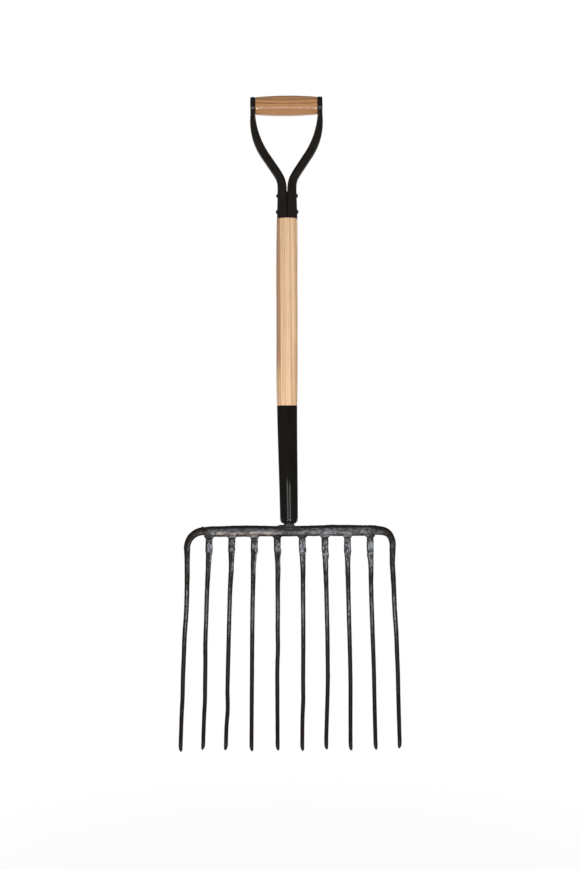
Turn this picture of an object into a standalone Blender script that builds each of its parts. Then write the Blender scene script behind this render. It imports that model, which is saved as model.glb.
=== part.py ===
"""Ensilage fork: ten curved steel tines on a forged bar, a wooden handle and a steel D-shaped yoke.

Metres, +Z up. The fork hangs upright with its tines down. Its origin is the underside of the
wooden hand grip, where a wall peg holds it. -Y is the carrying side, which the tine points face.
"""

import math

import bmesh
import bpy
from mathutils import Vector

# Fit between pieces
GAP = 0.0003  # between two pieces that touch
SEAM_HALF_GAP = 0.0002  # from the middle plane to the edge of each yoke stamping

# Wooden hand grip, a turned barrel along X
GRIP_LENGTH = 0.1110  # wood that shows between the two eye cups
GRIP_MID_RADIUS = 0.0182
GRIP_END_RADIUS = 0.0157
GRIP_FULLNESS = 0.8  # below 1 the barrel swells sooner from its ends
GRIP_TENON_LENGTH = 0.0055
GRIP_EDGE_BREAK = 0.0010

# Rivet along the hand grip
GRIP_RIVET_RADIUS = 0.0030
GRIP_RIVET_HEAD_RADIUS = 0.0056
GRIP_RIVET_HEAD_DEPTH = 0.0016

# Eye cups, the pressed ends of the yoke arms
EYE_RADIUS = 0.0161
EYE_DEPTH = 0.0090  # along X
EYE_WALL = 0.0022
EYE_EDGE_RADIUS = 0.0016

# Yoke arms, rolled from sheet
SHEET = 0.0018
SHEET_EDGE_ROUND = 0.0013  # on the outer side of the sheet's long edges
ARM_TOP_X = 0.0604
ARM_BOTTOM_X = 0.0088
ARM_ANGLE = math.radians(34)
ARM_UPPER_BEND = 0.1280  # radius of the centreline
ARM_LOWER_BEND = 0.0600
ARM_BELOW_EYE = 0.0021  # from the eye cup down to the upper bend
ARM_INSIDE_EYE = 0.0070  # how far the arm runs up into the eye cup
ARM_HALF_WIDTH = 0.0082  # of the round part, seen from the front
ARM_HALF_DEPTH = 0.0087
ARM_NECK_HALF_WIDTH = 0.0048  # where it meets the eye cup
ARM_NECK_HALF_DEPTH = 0.0140
ARM_FLATTENED_LENGTH = 0.0700  # over which the flat end becomes round
ARM_SLIT_HALF = 0.0005  # seam on the arm's inner side

# Yoke socket: each stamping opens from a tube into a half shell
SOCKET_OPENING_LENGTH = 0.0340  # over which the tube opens
SOCKET_LENGTH = 0.0469
SOCKET_TOP_RADIUS = 0.0173
SOCKET_BOTTOM_RADIUS = 0.0186
CROTCH_TO_SHELL = 0.0042

# The two cross rivets of the socket
CROSS_RIVET_RADIUS = 0.0026
CROSS_RIVET_HEAD_RADIUS = 0.0040
CROSS_RIVET_HEAD_HEIGHT = 0.0019
UPPER_RIVET_FROM_TOP = 0.0056
LOWER_RIVET_FROM_BOTTOM = 0.0125

# Wooden shaft
SHAFT_LENGTH = 0.3363  # wood that shows between socket and ferrule
SHAFT_TOP_RADIUS = 0.0187
SHAFT_MID_RADIUS = 0.0191
SHAFT_BOTTOM_RADIUS = 0.0184
SHAFT_END_TAPER = 0.0450  # over which the shaft thins at each end
SHAFT_EDGE_BREAK = 0.0006

# Ferrule, a long tapered cap
FERRULE_LENGTH = 0.2120
FERRULE_TOP_RADIUS = 0.0184
FERRULE_BOTTOM_RADIUS = 0.0162
FERRULE_CORNER = 0.0062
FERRULE_WALL = 0.0016

# Forged head: neck, tang and bar
NECK_RADIUS = 0.0088
NECK_SHOWN = 0.0050  # between ferrule and bar
NECK_FLARE = 0.0030
TANG_BASE_RADIUS = 0.0060
TANG_TIP_RADIUS = 0.0032
TANG_LENGTH = 0.1400
TANG_TIP_ROOM = 0.0020
BAR_HEIGHT = 0.0176
BAR_END_HEIGHT = 0.0158
BAR_HALF_DEPTH = 0.0070
BOSS_HALF_DEPTH = 0.0096
BOSS_HALF_WIDTH = 0.0130
BOSS_BLEND = 0.0180  # from the boss to the plain bar
BAR_END_BLEND = 0.0150
BAR_SCARF = 0.30  # lean of the bar's end faces
BAR_PAST_STUB = 0.0006  # from the last stub to the bar's end, at its underside

# Tines
CENTRE_PITCH = 0.0450
TINE_PITCH = 0.0408
TINE_DROP = 0.3920  # from the bar's axis to the points
STUB_DROP = 0.0370  # from the bar's axis to the weld
STUB_SCARF = 0.45  # lean of the weld faces
STUB_FILLET = 0.0028
OUTER_BEND = 0.0320  # radius that brings an outer tine round from the bar's end
ROOT_ANGLE = math.radians(28)  # backwards, at the bar
HEEL_ANGLE = math.radians(8)
HEEL_RADIUS = 0.2000
BELLY_RADIUS = 0.6400
ROOT_HALF_WIDTH = 0.0056
ROOT_HALF_DEPTH = 0.0060
WELD_HALF_WIDTH = 0.0056
WELD_HALF_DEPTH = 0.0053
BLADE_HALF_WIDTH = 0.0041
BLADE_HALF_DEPTH = 0.0044
TAPER_DROP = 0.1050  # where the weld's swelling has run out
TAPER_KNEE = 0.40  # share of the way from the weld to there, by which the taper
TAPER_KNEE_FALL = 0.65  # has done this share of its narrowing
POINT_HALF_WIDTH = 0.0035
POINT_HALF_DEPTH = 0.0036
POINT_LENGTH = 0.0110
POINT_TIP_HALF = 0.0009
OUTER_ROOT_HALF_WIDTH = 0.0070
OUTER_ROOT_HALF_DEPTH = 0.0062
OUTER_BEND_HALF_WIDTH = 0.0055
OUTER_BLADE_HALF_WIDTH = 0.0044
DRIFT_EASE = 0.5  # from straight lines between a tine's sideways offsets, 0, to full curves, 1

# The hand-made difference of each tine, from left to right: how far it drifts sideways at a third, at
# two thirds and at its point, and how much shorter it is than the longest
TINE_SHAPES = (
    (-0.003, -0.010, -0.013, 0.000),
    (-0.007, -0.010, -0.013, 0.003),
    (-0.006, -0.010, -0.013, 0.002),
    (-0.005, -0.007, -0.008, 0.000),
    (0.000, -0.002, -0.002, 0.002),
    (0.001, 0.000, -0.003, 0.002),
    (0.003, 0.004, -0.001, 0.005),
    (0.002, 0.004, 0.002, 0.000),
    (0.003, 0.006, 0.006, 0.003),
    (0.004, 0.009, 0.009, 0.008),
)
TINES = len(TINE_SHAPES)

# The bar's section, as (share of its half depth, share of its height below its top): flat on top,
# crowned in front and behind, and narrower below
BAR_OUTLINE = (
    (-0.62, 0.00),
    (0.62, 0.00),
    (0.92, 0.15),
    (1.00, 0.40),
    (0.94, 0.78),
    (0.55, 1.00),
    (-0.55, 1.00),
    (-0.94, 0.78),
    (-1.00, 0.40),
    (-0.92, 0.15),
)

# Places that follow from the sizes
GRIP_Z = GRIP_MID_RADIUS
ARM_BEND_Z = GRIP_Z - EYE_RADIUS - ARM_BELOW_EYE
ARM_STRAIGHT = (
    ARM_TOP_X - ARM_BOTTOM_X - (ARM_UPPER_BEND + ARM_LOWER_BEND) * (1 - math.cos(ARM_ANGLE))
) / math.sin(ARM_ANGLE)
CROTCH_Z = (
    ARM_BEND_Z
    - (ARM_UPPER_BEND + ARM_LOWER_BEND) * math.sin(ARM_ANGLE)
    - ARM_STRAIGHT * math.cos(ARM_ANGLE)
)
SHELL_TOP_Z = CROTCH_Z - CROTCH_TO_SHELL
SOCKET_BOTTOM_Z = SHELL_TOP_Z - SOCKET_LENGTH
FERRULE_TOP_Z = SOCKET_BOTTOM_Z - SHAFT_LENGTH
FERRULE_BOTTOM_Z = FERRULE_TOP_Z - FERRULE_LENGTH
FERRULE_FILLET = min(FERRULE_CORNER, FERRULE_BOTTOM_RADIUS - NECK_RADIUS - 2 * GAP)
SHAFT_BOTTOM_Z = FERRULE_BOTTOM_Z + FERRULE_FILLET + GAP
BAR_TOP_Z = FERRULE_BOTTOM_Z - NECK_SHOWN
BAR_Z = BAR_TOP_Z - BAR_HEIGHT / 2
LAST_STUB_X = CENTRE_PITCH / 2 + (TINES / 2 - 2) * TINE_PITCH
BAR_HALF_LENGTH = LAST_STUB_X + ROOT_HALF_WIDTH + BAR_PAST_STUB + BAR_SCARF * BAR_HEIGHT / 2
OUTER_TINE_X = BAR_HALF_LENGTH + OUTER_BEND
CUP_FACE_X = GRIP_LENGTH / 2 + EYE_DEPTH + GAP

# Fineness of the round shapes
ROUND_SIDES = 28
SMALL_SIDES = 14
TINE_SIDES = 10
SHEET_STEPS = 14


def material(name, colour, roughness, metallic=0.0):
    """A plain Principled material."""
    made = bpy.data.materials.new(name)
    made.use_nodes = True
    shader = made.node_tree.nodes["Principled BSDF"]
    shader.inputs["Base Color"].default_value = (*colour, 1.0)
    shader.inputs["Roughness"].default_value = roughness
    shader.inputs["Metallic"].default_value = metallic
    return made


def add_object(name, bm, finish, parent=None):
    """Turns a bmesh into an object of the scene, shaded smooth with sharp corners kept."""
    bmesh.ops.recalc_face_normals(bm, faces=bm.faces)
    if bm.calc_volume(signed=True) < 0:
        bmesh.ops.reverse_faces(bm, faces=bm.faces)
    mesh = bpy.data.meshes.new(name)
    bm.to_mesh(mesh)
    bm.free()
    mesh.shade_smooth()
    mesh.set_sharp_from_angle(angle=math.radians(38))
    mesh.materials.append(finish)
    made = bpy.data.objects.new(name, mesh)
    bpy.context.scene.collection.objects.link(made)
    made.parent = parent
    return made


def loft(rings, hollow=False):
    """A body through rings of points. A hollow ring runs round a bent sheet: out along it, and back."""
    bm = bmesh.new()
    loops = [[bm.verts.new(point) for point in ring] for ring in rings]
    count = len(rings[0])
    for first, second in zip(loops, loops[1:]):
        for i in range(count):
            j = (i + 1) % count
            bm.faces.new((first[i], first[j], second[j], second[i]))
    for end in (loops[0], loops[-1]):
        if hollow:
            for i in range(count // 2 - 1):
                bm.faces.new((end[i], end[i + 1], end[count - 2 - i], end[count - 1 - i]))
        else:
            bm.faces.new(end)
    return bm


def turned(profile, sides, closed=False):
    """A body turned about Z from (radius, height) points. A closed profile is a ring's section."""
    bm = bmesh.new()
    verts = [bm.verts.new((radius, 0, height)) for radius, height in profile]
    pairs = list(zip(verts, verts[1:]))
    if closed:
        pairs.append((verts[-1], verts[0]))
    edges = [bm.edges.new(pair) for pair in pairs]
    bmesh.ops.spin(
        bm, geom=verts + edges, axis=(0, 0, 1), cent=(0, 0, 0), steps=sides, angle=2 * math.pi,
        use_merge=True,
    )
    bmesh.ops.remove_doubles(bm, verts=bm.verts, dist=1e-6)
    return bm


def boolean(target, tool, operation):
    """Joins a helper to target, or cuts it from it. The helper itself isn't a piece."""
    modifier = target.modifiers.new(tool.name, "BOOLEAN")
    modifier.operation = operation
    modifier.object = tool
    tool.hide_render = True
    tool.display_type = "WIRE"


def lay_along_x(obj, z):
    """Turns a body made about Z so that its axis lies along X at height z."""
    obj.rotation_euler = (0, math.radians(90), 0)
    obj.location = (0, 0, z)


def arc_points(centre, radius, start, end, steps):
    """(radius, height) points on an arc, from the angle start to the angle end, both included."""
    angles = [start + (end - start) * i / steps for i in range(steps + 1)]
    return [(centre[0] + radius * math.cos(a), centre[1] + radius * math.sin(a)) for a in angles]


def smooth(share):
    """A smooth step from 0 to 1."""
    t = min(1.0, max(0.0, share))
    return t * t * (3 - 2 * t)


def mix(a, b, share):
    """The value a share of the way from a to b."""
    return a + (b - a) * share


def between(stations, at):
    """A value read from (place, value) stations with straight lines between them."""
    for (a, low), (b, high) in zip(stations, stations[1:]):
        if at <= b:
            return mix(low, high, max(0.0, (at - a) / (b - a)))
    return stations[-1][1]


def socket_radius(z):
    """Outer radius of the yoke's socket at height z."""
    return mix(SOCKET_TOP_RADIUS, SOCKET_BOTTOM_RADIUS, (SHELL_TOP_Z - z) / SOCKET_LENGTH)


def barrel_radius(share):
    """Radius of the hand grip's barrel, from 0 at one end to 1 at the other."""
    return mix(GRIP_END_RADIUS, GRIP_MID_RADIUS, math.sin(math.pi * share) ** GRIP_FULLNESS)


def make_hand_grip(wood, parent):
    """The wooden barrel, with a tenon at each end and a hole along it for its rivet."""
    steps = 12
    half = GRIP_LENGTH / 2
    tenon_radius = EYE_RADIUS - EYE_WALL - GAP
    hole_radius = GRIP_RIVET_RADIUS + GAP
    shell = [(GRIP_END_RADIUS - GRIP_EDGE_BREAK, -half)]
    for i in range(steps + 1):
        share = i / steps
        along = mix(-half + GRIP_EDGE_BREAK, half - GRIP_EDGE_BREAK, share)
        shell.append((barrel_radius(share), along))
    shell.append((GRIP_END_RADIUS - GRIP_EDGE_BREAK, half))
    end = half + GRIP_TENON_LENGTH
    profile = [(hole_radius, -end), (tenon_radius, -end), (tenon_radius, -half)]
    profile += shell
    profile += [(tenon_radius, half), (tenon_radius, end), (hole_radius, end)]
    grip = add_object("hand_grip", turned(profile, ROUND_SIDES, closed=True), wood, parent)
    lay_along_x(grip, GRIP_Z)
    return grip


def make_grip_rivet(steel, parent):
    """The rivet through both eye cups and the grip, with flush cone heads."""
    inner = CUP_FACE_X - GRIP_RIVET_HEAD_DEPTH
    profile = [
        (0, -CUP_FACE_X),
        (GRIP_RIVET_HEAD_RADIUS, -CUP_FACE_X),
        (GRIP_RIVET_RADIUS, -inner),
        (GRIP_RIVET_RADIUS, inner),
        (GRIP_RIVET_HEAD_RADIUS, CUP_FACE_X),
        (0, CUP_FACE_X),
    ]
    rivet = add_object("grip_rivet", turned(profile, SMALL_SIDES), steel, parent)
    lay_along_x(rivet, GRIP_Z)
    return rivet


def arm_path():
    """(point, direction) stations down the right arm's centreline, from the eye cup to the socket's end."""
    stations = []
    down = Vector((0, 0, -1))
    top = ARM_BEND_Z + ARM_BELOW_EYE + ARM_INSIDE_EYE
    for z in (top, mix(top, ARM_BEND_Z, 0.5), ARM_BEND_Z):
        stations.append((Vector((ARM_TOP_X, 0, z)), down))
    upper_steps = 7
    for i in range(1, upper_steps + 1):
        a = ARM_ANGLE * i / upper_steps
        x = ARM_TOP_X - ARM_UPPER_BEND * (1 - math.cos(a))
        z = ARM_BEND_Z - ARM_UPPER_BEND * math.sin(a)
        stations.append((Vector((x, 0, z)), Vector((-math.sin(a), 0, -math.cos(a)))))
    slope = stations[-1][1]
    straight_start = stations[-1][0]
    stations.append((straight_start + slope * ARM_STRAIGHT / 2, slope))
    lower_steps = 6
    for i in range(lower_steps + 1):
        a = ARM_ANGLE * (1 - i / lower_steps)
        x = ARM_BOTTOM_X + ARM_LOWER_BEND * (1 - math.cos(a))
        z = CROTCH_Z + ARM_LOWER_BEND * math.sin(a)
        stations.append((Vector((x, 0, z)), Vector((-math.sin(a), 0, -math.cos(a)))))
    for z in (
        mix(CROTCH_Z, SHELL_TOP_Z, 0.5),
        SHELL_TOP_Z,
        mix(SHELL_TOP_Z, SOCKET_BOTTOM_Z, 0.5),
        SOCKET_BOTTOM_Z,
    ):
        stations.append((Vector((ARM_BOTTOM_X, 0, z)), down))
    return stations


def sheet_places():
    """(share, inset) places across the sheet from edge to edge. The inset rounds off its two edges."""
    edge_share = SHEET_EDGE_ROUND / (math.pi * SOCKET_TOP_RADIUS)
    rounded = []
    for turn in (0, math.radians(50), math.radians(90)):
        away = 1 - math.cos(turn)
        rounded.append((edge_share * away, SHEET_EDGE_ROUND * (1 - math.sin(turn))))
    middle = [(mix(edge_share, 1 - edge_share, i / SHEET_STEPS), 0) for i in range(1, SHEET_STEPS)]
    return rounded + middle + [(1 - share, inset) for share, inset in rounded[::-1]]


def tube_curve(point, direction, half_width, half_depth, rounding):
    """The arm's round section: from the seam on its inner side, round the back and front, to the seam."""
    outward = Vector((-direction.z, 0, direction.x))
    slit = math.asin(ARM_SLIT_HALF / half_depth)
    curve = []
    for share, inset in sheet_places():
        a = mix(math.pi - slit, slit - math.pi, share)
        along_x = outward * (half_width - inset * rounding) * math.cos(a)
        along_y = Vector((0, (half_depth - inset * rounding) * math.sin(a), 0))
        curve.append(point + along_x + along_y)
    return curve


def shell_curve(z, radius, rounding):
    """The socket's half round section, open towards the middle plane."""
    curve = []
    for share, inset in sheet_places():
        reach = radius - inset * rounding
        edge = math.acos(SEAM_HALF_GAP / reach)
        a = mix(edge, -edge, share)
        curve.append(Vector((reach * math.cos(a), reach * math.sin(a), z)))
    return curve


def arm_ring(point, direction):
    """One section of the bent sheet: its outer side, then its inner side back again."""
    flat = smooth((ARM_BEND_Z + ARM_BELOW_EYE - point.z) / ARM_FLATTENED_LENGTH)
    half_width = mix(ARM_NECK_HALF_WIDTH, ARM_HALF_WIDTH, math.sqrt(flat))
    half_depth = mix(ARM_NECK_HALF_DEPTH, ARM_HALF_DEPTH, flat)
    opened = smooth((SHELL_TOP_Z + SOCKET_OPENING_LENGTH - point.z) / SOCKET_OPENING_LENGTH)
    sides = []
    for depth, rounding in ((0, 1), (SHEET, 0)):
        tube = tube_curve(point, direction, half_width - depth, half_depth - depth, rounding)
        shell = shell_curve(point.z, socket_radius(min(point.z, SHELL_TOP_Z)) - depth, rounding)
        sides.append([a.lerp(b, opened) for a, b in zip(tube, shell)])
    return sides[0] + sides[1][::-1]


def make_eye_cup(side, finish, parent):
    """A solid disc for the arm's end, with a rounded outer edge."""
    inner_x = GRIP_LENGTH / 2 + GAP
    rounded = arc_points(
        (EYE_RADIUS - EYE_EDGE_RADIUS, CUP_FACE_X - EYE_EDGE_RADIUS), EYE_EDGE_RADIUS, 0, math.pi / 2, 3
    )
    profile = [(0, inner_x), (EYE_RADIUS, inner_x)] + rounded + [(0, CUP_FACE_X)]
    cup = add_object("eye_disc", turned(profile, ROUND_SIDES), finish, parent)
    lay_along_x(cup, GRIP_Z)
    cup.rotation_euler[1] *= side
    return cup


def make_eye_cutter(side, finish, parent):
    """What the eye cup is hollowed by: the grip's seat, the rivet's hole and its cone."""
    start = GRIP_LENGTH / 2 - GAP
    floor = CUP_FACE_X - EYE_WALL
    head = CUP_FACE_X - GRIP_RIVET_HEAD_DEPTH
    past = CUP_FACE_X + GRIP_RIVET_HEAD_DEPTH
    hole = GRIP_RIVET_RADIUS + GAP
    mouth = GRIP_RIVET_HEAD_RADIUS + GAP
    widening = (mouth - hole) / GRIP_RIVET_HEAD_DEPTH
    profile = [
        (0, start),
        (EYE_RADIUS - EYE_WALL, start),
        (EYE_RADIUS - EYE_WALL, floor),
        (hole, floor),
        (hole, head),
        (mouth + widening * (past - CUP_FACE_X), past),
        (0, past),
    ]
    cutter = add_object("eye_hollow", turned(profile, ROUND_SIDES), finish, parent)
    lay_along_x(cutter, GRIP_Z)
    cutter.rotation_euler[1] *= side
    return cutter


def make_yoke_half(name, side, rivets, finish, parent):
    """One stamping of the yoke: eye cup, rolled arm and half of the socket. side is 1 right, -1 left."""
    rings = []
    for point, direction in arm_path():
        ring = arm_ring(point, direction)
        rings.append([Vector((p.x * side, p.y, p.z)) for p in ring])
    half = add_object(name, loft(rings, hollow=True), finish, parent)
    boolean(half, make_eye_cup(side, finish, parent), "UNION")
    boolean(half, make_eye_cutter(side, finish, parent), "DIFFERENCE")
    for hole in rivets:
        boolean(half, hole, "DIFFERENCE")
    return half


def make_rivet_hole(z, finish, parent):
    """The drill that clears a cross rivet through both stampings and the shaft."""
    reach = SOCKET_BOTTOM_RADIUS + CROSS_RIVET_HEAD_HEIGHT
    radius = CROSS_RIVET_RADIUS + GAP
    profile = [(0, -reach), (radius, -reach), (radius, reach), (0, reach)]
    hole = add_object("rivet_drill", turned(profile, SMALL_SIDES), finish, parent)
    lay_along_x(hole, z)
    return hole


def make_cross_rivet(name, z, finish, parent):
    """A rivet across the socket, with a low dome head on each side."""
    seat = socket_radius(z) + GAP
    half = [(CROSS_RIVET_RADIUS, seat)]
    dome_steps = 4
    for i in range(dome_steps):
        a = math.pi / 2 * i / dome_steps
        height = CROSS_RIVET_HEAD_HEIGHT * math.sin(a)
        half.append((CROSS_RIVET_HEAD_RADIUS * math.cos(a), seat + height))
    half.append((0, seat + CROSS_RIVET_HEAD_HEIGHT))
    profile = [(radius, -height) for radius, height in half[::-1]] + half
    rivet = add_object(name, turned(profile, SMALL_SIDES), finish, parent)
    lay_along_x(rivet, z)
    return rivet


def make_shaft(rivets, finish, parent):
    """The wooden shaft: the part that shows, a tenon at each end and the bore for the tang."""
    shoulder_top = SOCKET_BOTTOM_Z - GAP
    shoulder_bottom = FERRULE_TOP_Z + GAP
    slope = (FERRULE_TOP_RADIUS - FERRULE_BOTTOM_RADIUS) / (FERRULE_LENGTH - FERRULE_FILLET)
    ferrule_fit = FERRULE_WALL + GAP
    end_radius = FERRULE_BOTTOM_RADIUS + slope * GAP - ferrule_fit
    bore_base = TANG_BASE_RADIUS + GAP
    bore_tip = TANG_TIP_RADIUS + GAP
    bore_top = SHAFT_BOTTOM_Z + TANG_LENGTH + TANG_TIP_ROOM
    yoke_fit = SHEET + GAP
    profile = [
        (0, SHELL_TOP_Z),
        (socket_radius(SHELL_TOP_Z) - yoke_fit - SHAFT_EDGE_BREAK, SHELL_TOP_Z),
        (socket_radius(SHELL_TOP_Z) - yoke_fit, SHELL_TOP_Z - SHAFT_EDGE_BREAK),
        (SOCKET_BOTTOM_RADIUS - yoke_fit, shoulder_top),
        (SHAFT_TOP_RADIUS - SHAFT_EDGE_BREAK, shoulder_top),
        (SHAFT_TOP_RADIUS, shoulder_top - SHAFT_EDGE_BREAK),
        (SHAFT_MID_RADIUS, shoulder_top - SHAFT_END_TAPER),
        (SHAFT_MID_RADIUS, (shoulder_top + shoulder_bottom) / 2),
        (SHAFT_MID_RADIUS, shoulder_bottom + SHAFT_END_TAPER),
        (SHAFT_BOTTOM_RADIUS, shoulder_bottom + SHAFT_EDGE_BREAK),
        (SHAFT_BOTTOM_RADIUS - SHAFT_EDGE_BREAK, shoulder_bottom),
        (FERRULE_TOP_RADIUS - ferrule_fit, shoulder_bottom),
        (end_radius, SHAFT_BOTTOM_Z),
        (bore_base, SHAFT_BOTTOM_Z),
        (bore_tip, bore_top),
        (0, bore_top),
    ]
    shaft = add_object("handle_shaft", turned(profile, ROUND_SIDES), finish, parent)
    for hole in rivets:
        boolean(shaft, hole, "DIFFERENCE")
    return shaft


def make_ferrule(finish, parent):
    """The long steel cap on the shaft's lower end, with a rounded bottom and a hole for the neck."""
    corner_steps = 5
    lip = FERRULE_WALL / 3
    centre = (FERRULE_BOTTOM_RADIUS - FERRULE_FILLET, FERRULE_BOTTOM_Z + FERRULE_FILLET)
    outer = arc_points(centre, FERRULE_FILLET, 0, -math.pi / 2, corner_steps)
    inner = arc_points(centre, FERRULE_FILLET - FERRULE_WALL, -math.pi / 2, 0, corner_steps)
    hole = NECK_RADIUS + GAP
    mouth = [
        (FERRULE_TOP_RADIUS - FERRULE_WALL, FERRULE_TOP_Z),
        (FERRULE_TOP_RADIUS - lip, FERRULE_TOP_Z),
        (FERRULE_TOP_RADIUS, FERRULE_TOP_Z - lip),
    ]
    bottom = [(hole, FERRULE_BOTTOM_Z), (hole, FERRULE_BOTTOM_Z + FERRULE_WALL)]
    profile = mouth + outer + bottom + inner
    return add_object("ferrule", turned(profile, ROUND_SIDES, closed=True), finish, parent)


def make_neck_and_tang(finish, parent):
    """The round neck above the bar, the collar inside the ferrule and the tapered tang in the shaft."""
    collar_top = SHAFT_BOTTOM_Z - GAP
    tip_z = SHAFT_BOTTOM_Z + TANG_LENGTH
    profile = [
        (0, BAR_Z),
        (NECK_RADIUS, BAR_Z),
        (NECK_RADIUS + NECK_FLARE, BAR_TOP_Z - NECK_FLARE),
        (NECK_RADIUS, BAR_TOP_Z + NECK_SHOWN / 2),
        (NECK_RADIUS, collar_top),
        (TANG_BASE_RADIUS, collar_top),
        (TANG_TIP_RADIUS, tip_z),
        (0, tip_z),
    ]
    return add_object("neck_and_tang", turned(profile, 2 * SMALL_SIDES), finish, parent)


def bar_ring(x, half_depth, height):
    """The bar's section at x. Its last ring leans, which gives the end face its scarf."""
    top = BAR_Z + height / 2
    lean = BAR_SCARF if abs(x) > BAR_HALF_LENGTH - BAR_END_BLEND / 2 else 0
    side = math.copysign(1, x)
    ring = []
    for depth_share, height_share in BAR_OUTLINE:
        z = top - height * height_share
        ring.append(Vector((x + side * lean * (z - BAR_Z), half_depth * depth_share, z)))
    return ring


def make_bar(finish, parent):
    """The forged cross bar, thicker at its middle boss, with leaning faces where the outer tines join."""
    boss_start = BOSS_HALF_WIDTH / 2
    boss_end = BOSS_HALF_WIDTH + BOSS_BLEND
    end = BAR_HALF_LENGTH - GAP / 2
    boss_steps = 3
    halves = []
    for i in range(boss_steps + 1):
        share = i / boss_steps
        half_depth = mix(BOSS_HALF_DEPTH, BAR_HALF_DEPTH, smooth(share))
        halves.append((mix(boss_start, boss_end, share), half_depth, BAR_HEIGHT))
    halves.append((end - BAR_END_BLEND, BAR_HALF_DEPTH, BAR_HEIGHT))
    halves.append((end, BAR_HALF_DEPTH, BAR_END_HEIGHT))
    stations = [(-x, depth, height) for x, depth, height in halves[::-1]] + halves
    rings = [bar_ring(x, depth, height) for x, depth, height in stations]
    return add_object("fork_head", loft(rings), finish, parent)


def dish(drop):
    """How far behind the bar's axis a tine runs, drop below it: a tight heel, then a long belly."""
    heel_drop = HEEL_RADIUS * (math.sin(ROOT_ANGLE) - math.sin(HEEL_ANGLE))
    if drop <= heel_drop:
        angle = math.asin(math.sin(ROOT_ANGLE) - drop / HEEL_RADIUS)
        return HEEL_RADIUS * (math.cos(angle) - math.cos(ROOT_ANGLE))
    angle = math.asin(math.sin(HEEL_ANGLE) - (drop - heel_drop) / BELLY_RADIUS)
    heel = HEEL_RADIUS * (math.cos(HEEL_ANGLE) - math.cos(ROOT_ANGLE))
    return heel + BELLY_RADIUS * (math.cos(angle) - math.cos(HEEL_ANGLE))


def is_outer(number):
    """Whether tine number is one of the two that bend round the ends of the bar."""
    return number in (0, TINES - 1)


def drift(number, share):
    """How far tine number stands aside of its root, on a smooth curve through its three offsets."""
    third, two_thirds, point = TINE_SHAPES[number][:3]
    stations = ((0.0, 0.0), (1 / 3, third), (2 / 3, two_thirds), (1.0, point))
    for (a, low), (b, high) in zip(stations, stations[1:]):
        if share <= b:
            along = (share - a) / (b - a)
            return mix(low, high, mix(along, smooth(along), DRIFT_EASE))
    return point


def root_x(number):
    """Where tine number hangs from the bar. The outer ones stand a bend's radius past its ends."""
    from_middle = number - (TINES - 1) / 2
    reach = CENTRE_PITCH / 2 + (abs(from_middle) - 0.5) * TINE_PITCH
    return math.copysign(OUTER_TINE_X if is_outer(number) else reach, from_middle)


def tine_point(number, drop):
    """A point of tine number's centreline, drop below the bar's axis."""
    x = root_x(number) + drift(number, drop / TINE_DROP)
    return Vector((x, dish(drop), BAR_Z - drop))


def outer_bend_point(number, angle):
    """A point on the bend that brings an outer tine round from the bar's end, from 0 to a quarter turn."""
    side = math.copysign(1, root_x(number))
    drop = OUTER_BEND * (1 - math.cos(angle))
    x = side * (BAR_HALF_LENGTH + OUTER_BEND * math.sin(angle))
    return Vector((x + drift(number, drop / TINE_DROP), dish(drop), BAR_Z - drop))


def section(point, tangent, half_width, half_depth, lean=0.0):
    """An oval ring square to the tangent. lean slants it along the tangent, for a scarf joint."""
    depth_way = (Vector((0, 1, 0)) - tangent * tangent.y).normalized()
    width_way = tangent.cross(depth_way)
    ring = []
    for i in range(TINE_SIDES):
        a = 2 * math.pi * (i + 0.5) / TINE_SIDES
        out = depth_way * half_depth * math.sin(a)
        slant = tangent * lean * half_depth * math.sin(a)
        ring.append(point + width_way * half_width * math.cos(a) + out + slant)
    return ring


def tangent_at(number, drop):
    """The direction of tine number's centreline."""
    step = 0.0005
    return (tine_point(number, drop + step) - tine_point(number, drop - step)).normalized()


def tine_half_sizes(number, drop, end):
    """Half width and half depth of a tine's oval."""
    blade = OUTER_BLADE_HALF_WIDTH if is_outer(number) else BLADE_HALF_WIDTH
    weld = OUTER_BEND_HALF_WIDTH if is_outer(number) else WELD_HALF_WIDTH
    weld_drop = OUTER_BEND if is_outer(number) else STUB_DROP
    shoulder = end - POINT_LENGTH
    widths = (
        (0, ROOT_HALF_WIDTH),
        (weld_drop, weld),
        (mix(weld_drop, TAPER_DROP, TAPER_KNEE), mix(weld, blade, TAPER_KNEE_FALL)),
        (TAPER_DROP, blade),
        (shoulder, POINT_HALF_WIDTH),
        (end, POINT_TIP_HALF),
    )
    depths = (
        (0, ROOT_HALF_DEPTH),
        (weld_drop, WELD_HALF_DEPTH),
        (TAPER_DROP, BLADE_HALF_DEPTH),
        (shoulder, POINT_HALF_DEPTH),
        (end, POINT_TIP_HALF),
    )
    return between(widths, drop), between(depths, drop)


def tine_drops(start, end):
    """Where a tine's rings lie: closer at the heel, even along the blade, and one at the point."""
    heel = [start, mix(start, TAPER_DROP, TAPER_KNEE), TAPER_DROP]
    blade_steps = 9
    shoulder = end - POINT_LENGTH
    blade = [mix(TAPER_DROP, shoulder, i / blade_steps) for i in range(1, blade_steps + 1)]
    return heel + blade + [end]


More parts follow.
